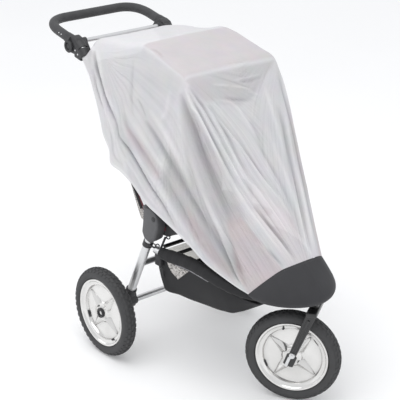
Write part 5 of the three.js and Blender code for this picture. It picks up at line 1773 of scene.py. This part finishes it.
# the film's tone: painted shade in the troughs of folds and wrinkles, painted highlight on their ridges, and
# the paler hem
net_fold_shade_and_hem = np.full(smooth_net.shape[:2], FLAT_FOLD_SHADE)
for height, half_width, line in NET_FOLDS:
    shape = fold_shape(smooth_net, line, half_width)
    net_rise += height * shape
    net_fold_shade_and_hem += FOLD_SHADE_CONTRAST * height * shape
for pull in NET_PULLS:
    wrinkles = pull_lines(net_along, net_across, pull)
    net_rise += wrinkles
    net_fold_shade_and_hem += PULL_SHADE_CONTRAST * wrinkles
hem_share = np.minimum(net_across, 1 - net_across) * NET_GIRTH / HEM_WIDTH
hem = np.clip(1.5 - np.abs(hem_share - 0.5) * 2, 0, 1)
net_fold_shade_and_hem += HEM_TONE * hem
seam_fade = np.clip((NET_ROWS - np.arange(NET_ROWS + 1)) / SEAM_ROWS, 0, 1)[:, None]
net_rise = net_rise * seam_fade
draped_net = smooth_net + net_normals * net_rise[:, :, None]
# painted shade and warm tint from the patches, point by point
net_painted_shade_behind = np.zeros(smooth_net.shape[:2])
net_warmth = np.zeros(smooth_net.shape[:2])
for behind, warmth, edge, corners in NET_PATCHES:
    cover = patch_cover(net_along, net_across, edge, corners)
    net_painted_shade_behind += behind * cover
    net_warmth += warmth * cover


net = grid_sheet(NET_COLUMNS, NET_ROWS, lambda across, along: Vector((across, along, 0)))
net_layers = {name: net.verts.layers.float.new(name) for name in ("fold", "behind", "warmth")}
for vert in net.verts:
    column, row = round(vert.co.x * NET_COLUMNS), round(vert.co.y * NET_ROWS)
    vert[net_layers["fold"]] = float(net_fold_shade_and_hem[row, column])
    vert[net_layers["behind"]] = float(net_painted_shade_behind[row, column])
    vert[net_layers["warmth"]] = float(net_warmth[row, column])
    vert.co = Vector(draped_net[row, column])
net_piece = soft_piece("netting", net, fine_netting(), "net", "net_body")


# Foot boot
# The net's front end: a cup of black nylon sewn to the gathered net, which hooks under the toes of
# the foot plate.

BOOT_HEEL = (0.412, 0.151, 0.380)
BOOT_CONTROL = {"front": 0.189, "half": 0.153, "low": 0.388, "high": 0.400, "pull": 1.5}
BOOT_RIM = {"front": 0.164, "half": 0.143, "height": 0.376}
BOOT_SQUARENESS = 1.95
BOOT_LEVEL_POWER = 0.6
BOOT_SEAM_GAP = 0.001
BOOT_SEAM_ROWS = 100
BOOT_ROWS = 40
BOOT_COLUMNS = 152
BOOT_WALL = 0.0018


def boot_plan(angle, front, half, height):
    """A point on the boot's rounded plan at an angle from straight ahead."""
    power = 2 / BOOT_SQUARENESS
    ahead, aside = math.cos(angle), math.sin(angle)
    return Vector(
        (
            BOOT_HEEL[0] + front * abs(ahead) ** power,
            math.copysign(half * abs(aside) ** power, aside),
            height,
        )
    )


boot_seam = net_grid(NET_ROWS, BOOT_COLUMNS)[-1]
boot_before = net_grid(BOOT_SEAM_ROWS, BOOT_COLUMNS)[-2]


def boot_point(across, along):
    """A point of the boot: from its right heel round the toes to the left, and from seam to lower rim."""
    column = round(across * BOOT_COLUMNS)
    angle = (across - 0.5) * math.pi
    level = max(math.cos(angle), 0.0) ** BOOT_LEVEL_POWER
    seam = Vector(boot_seam[column])
    onward = (seam - Vector(boot_before[column])).normalized()
    lift = BOOT_CONTROL["low"] + (BOOT_CONTROL["high"] - BOOT_CONTROL["low"]) * level
    control = boot_plan(angle, BOOT_CONTROL["front"], BOOT_CONTROL["half"], lift)
    height = BOOT_HEEL[2] + (BOOT_RIM["height"] - BOOT_HEEL[2]) * min(1, 2 * level)
    rim = boot_plan(angle, BOOT_RIM["front"], BOOT_RIM["half"], height)
    start = seam + onward * BOOT_SEAM_GAP
    first, pull, last = (1 - along) ** 2, BOOT_CONTROL["pull"] * 2 * along * (1 - along), along**2
    return (start * first + control * pull + rim * last) / (first + pull + last)


boot_cloth = woven_cloth("boot_nylon", "#29292b", "#343437", NYLON_THREAD, roughness=0.75, sheen=0.05)
boot = grid_sheet(BOOT_COLUMNS, BOOT_ROWS, boot_point)
boot_piece = soft_piece("foot_boot_cup", boot, boot_cloth, "boot_cloth", "foot_boot", thickness=BOOT_WALL)
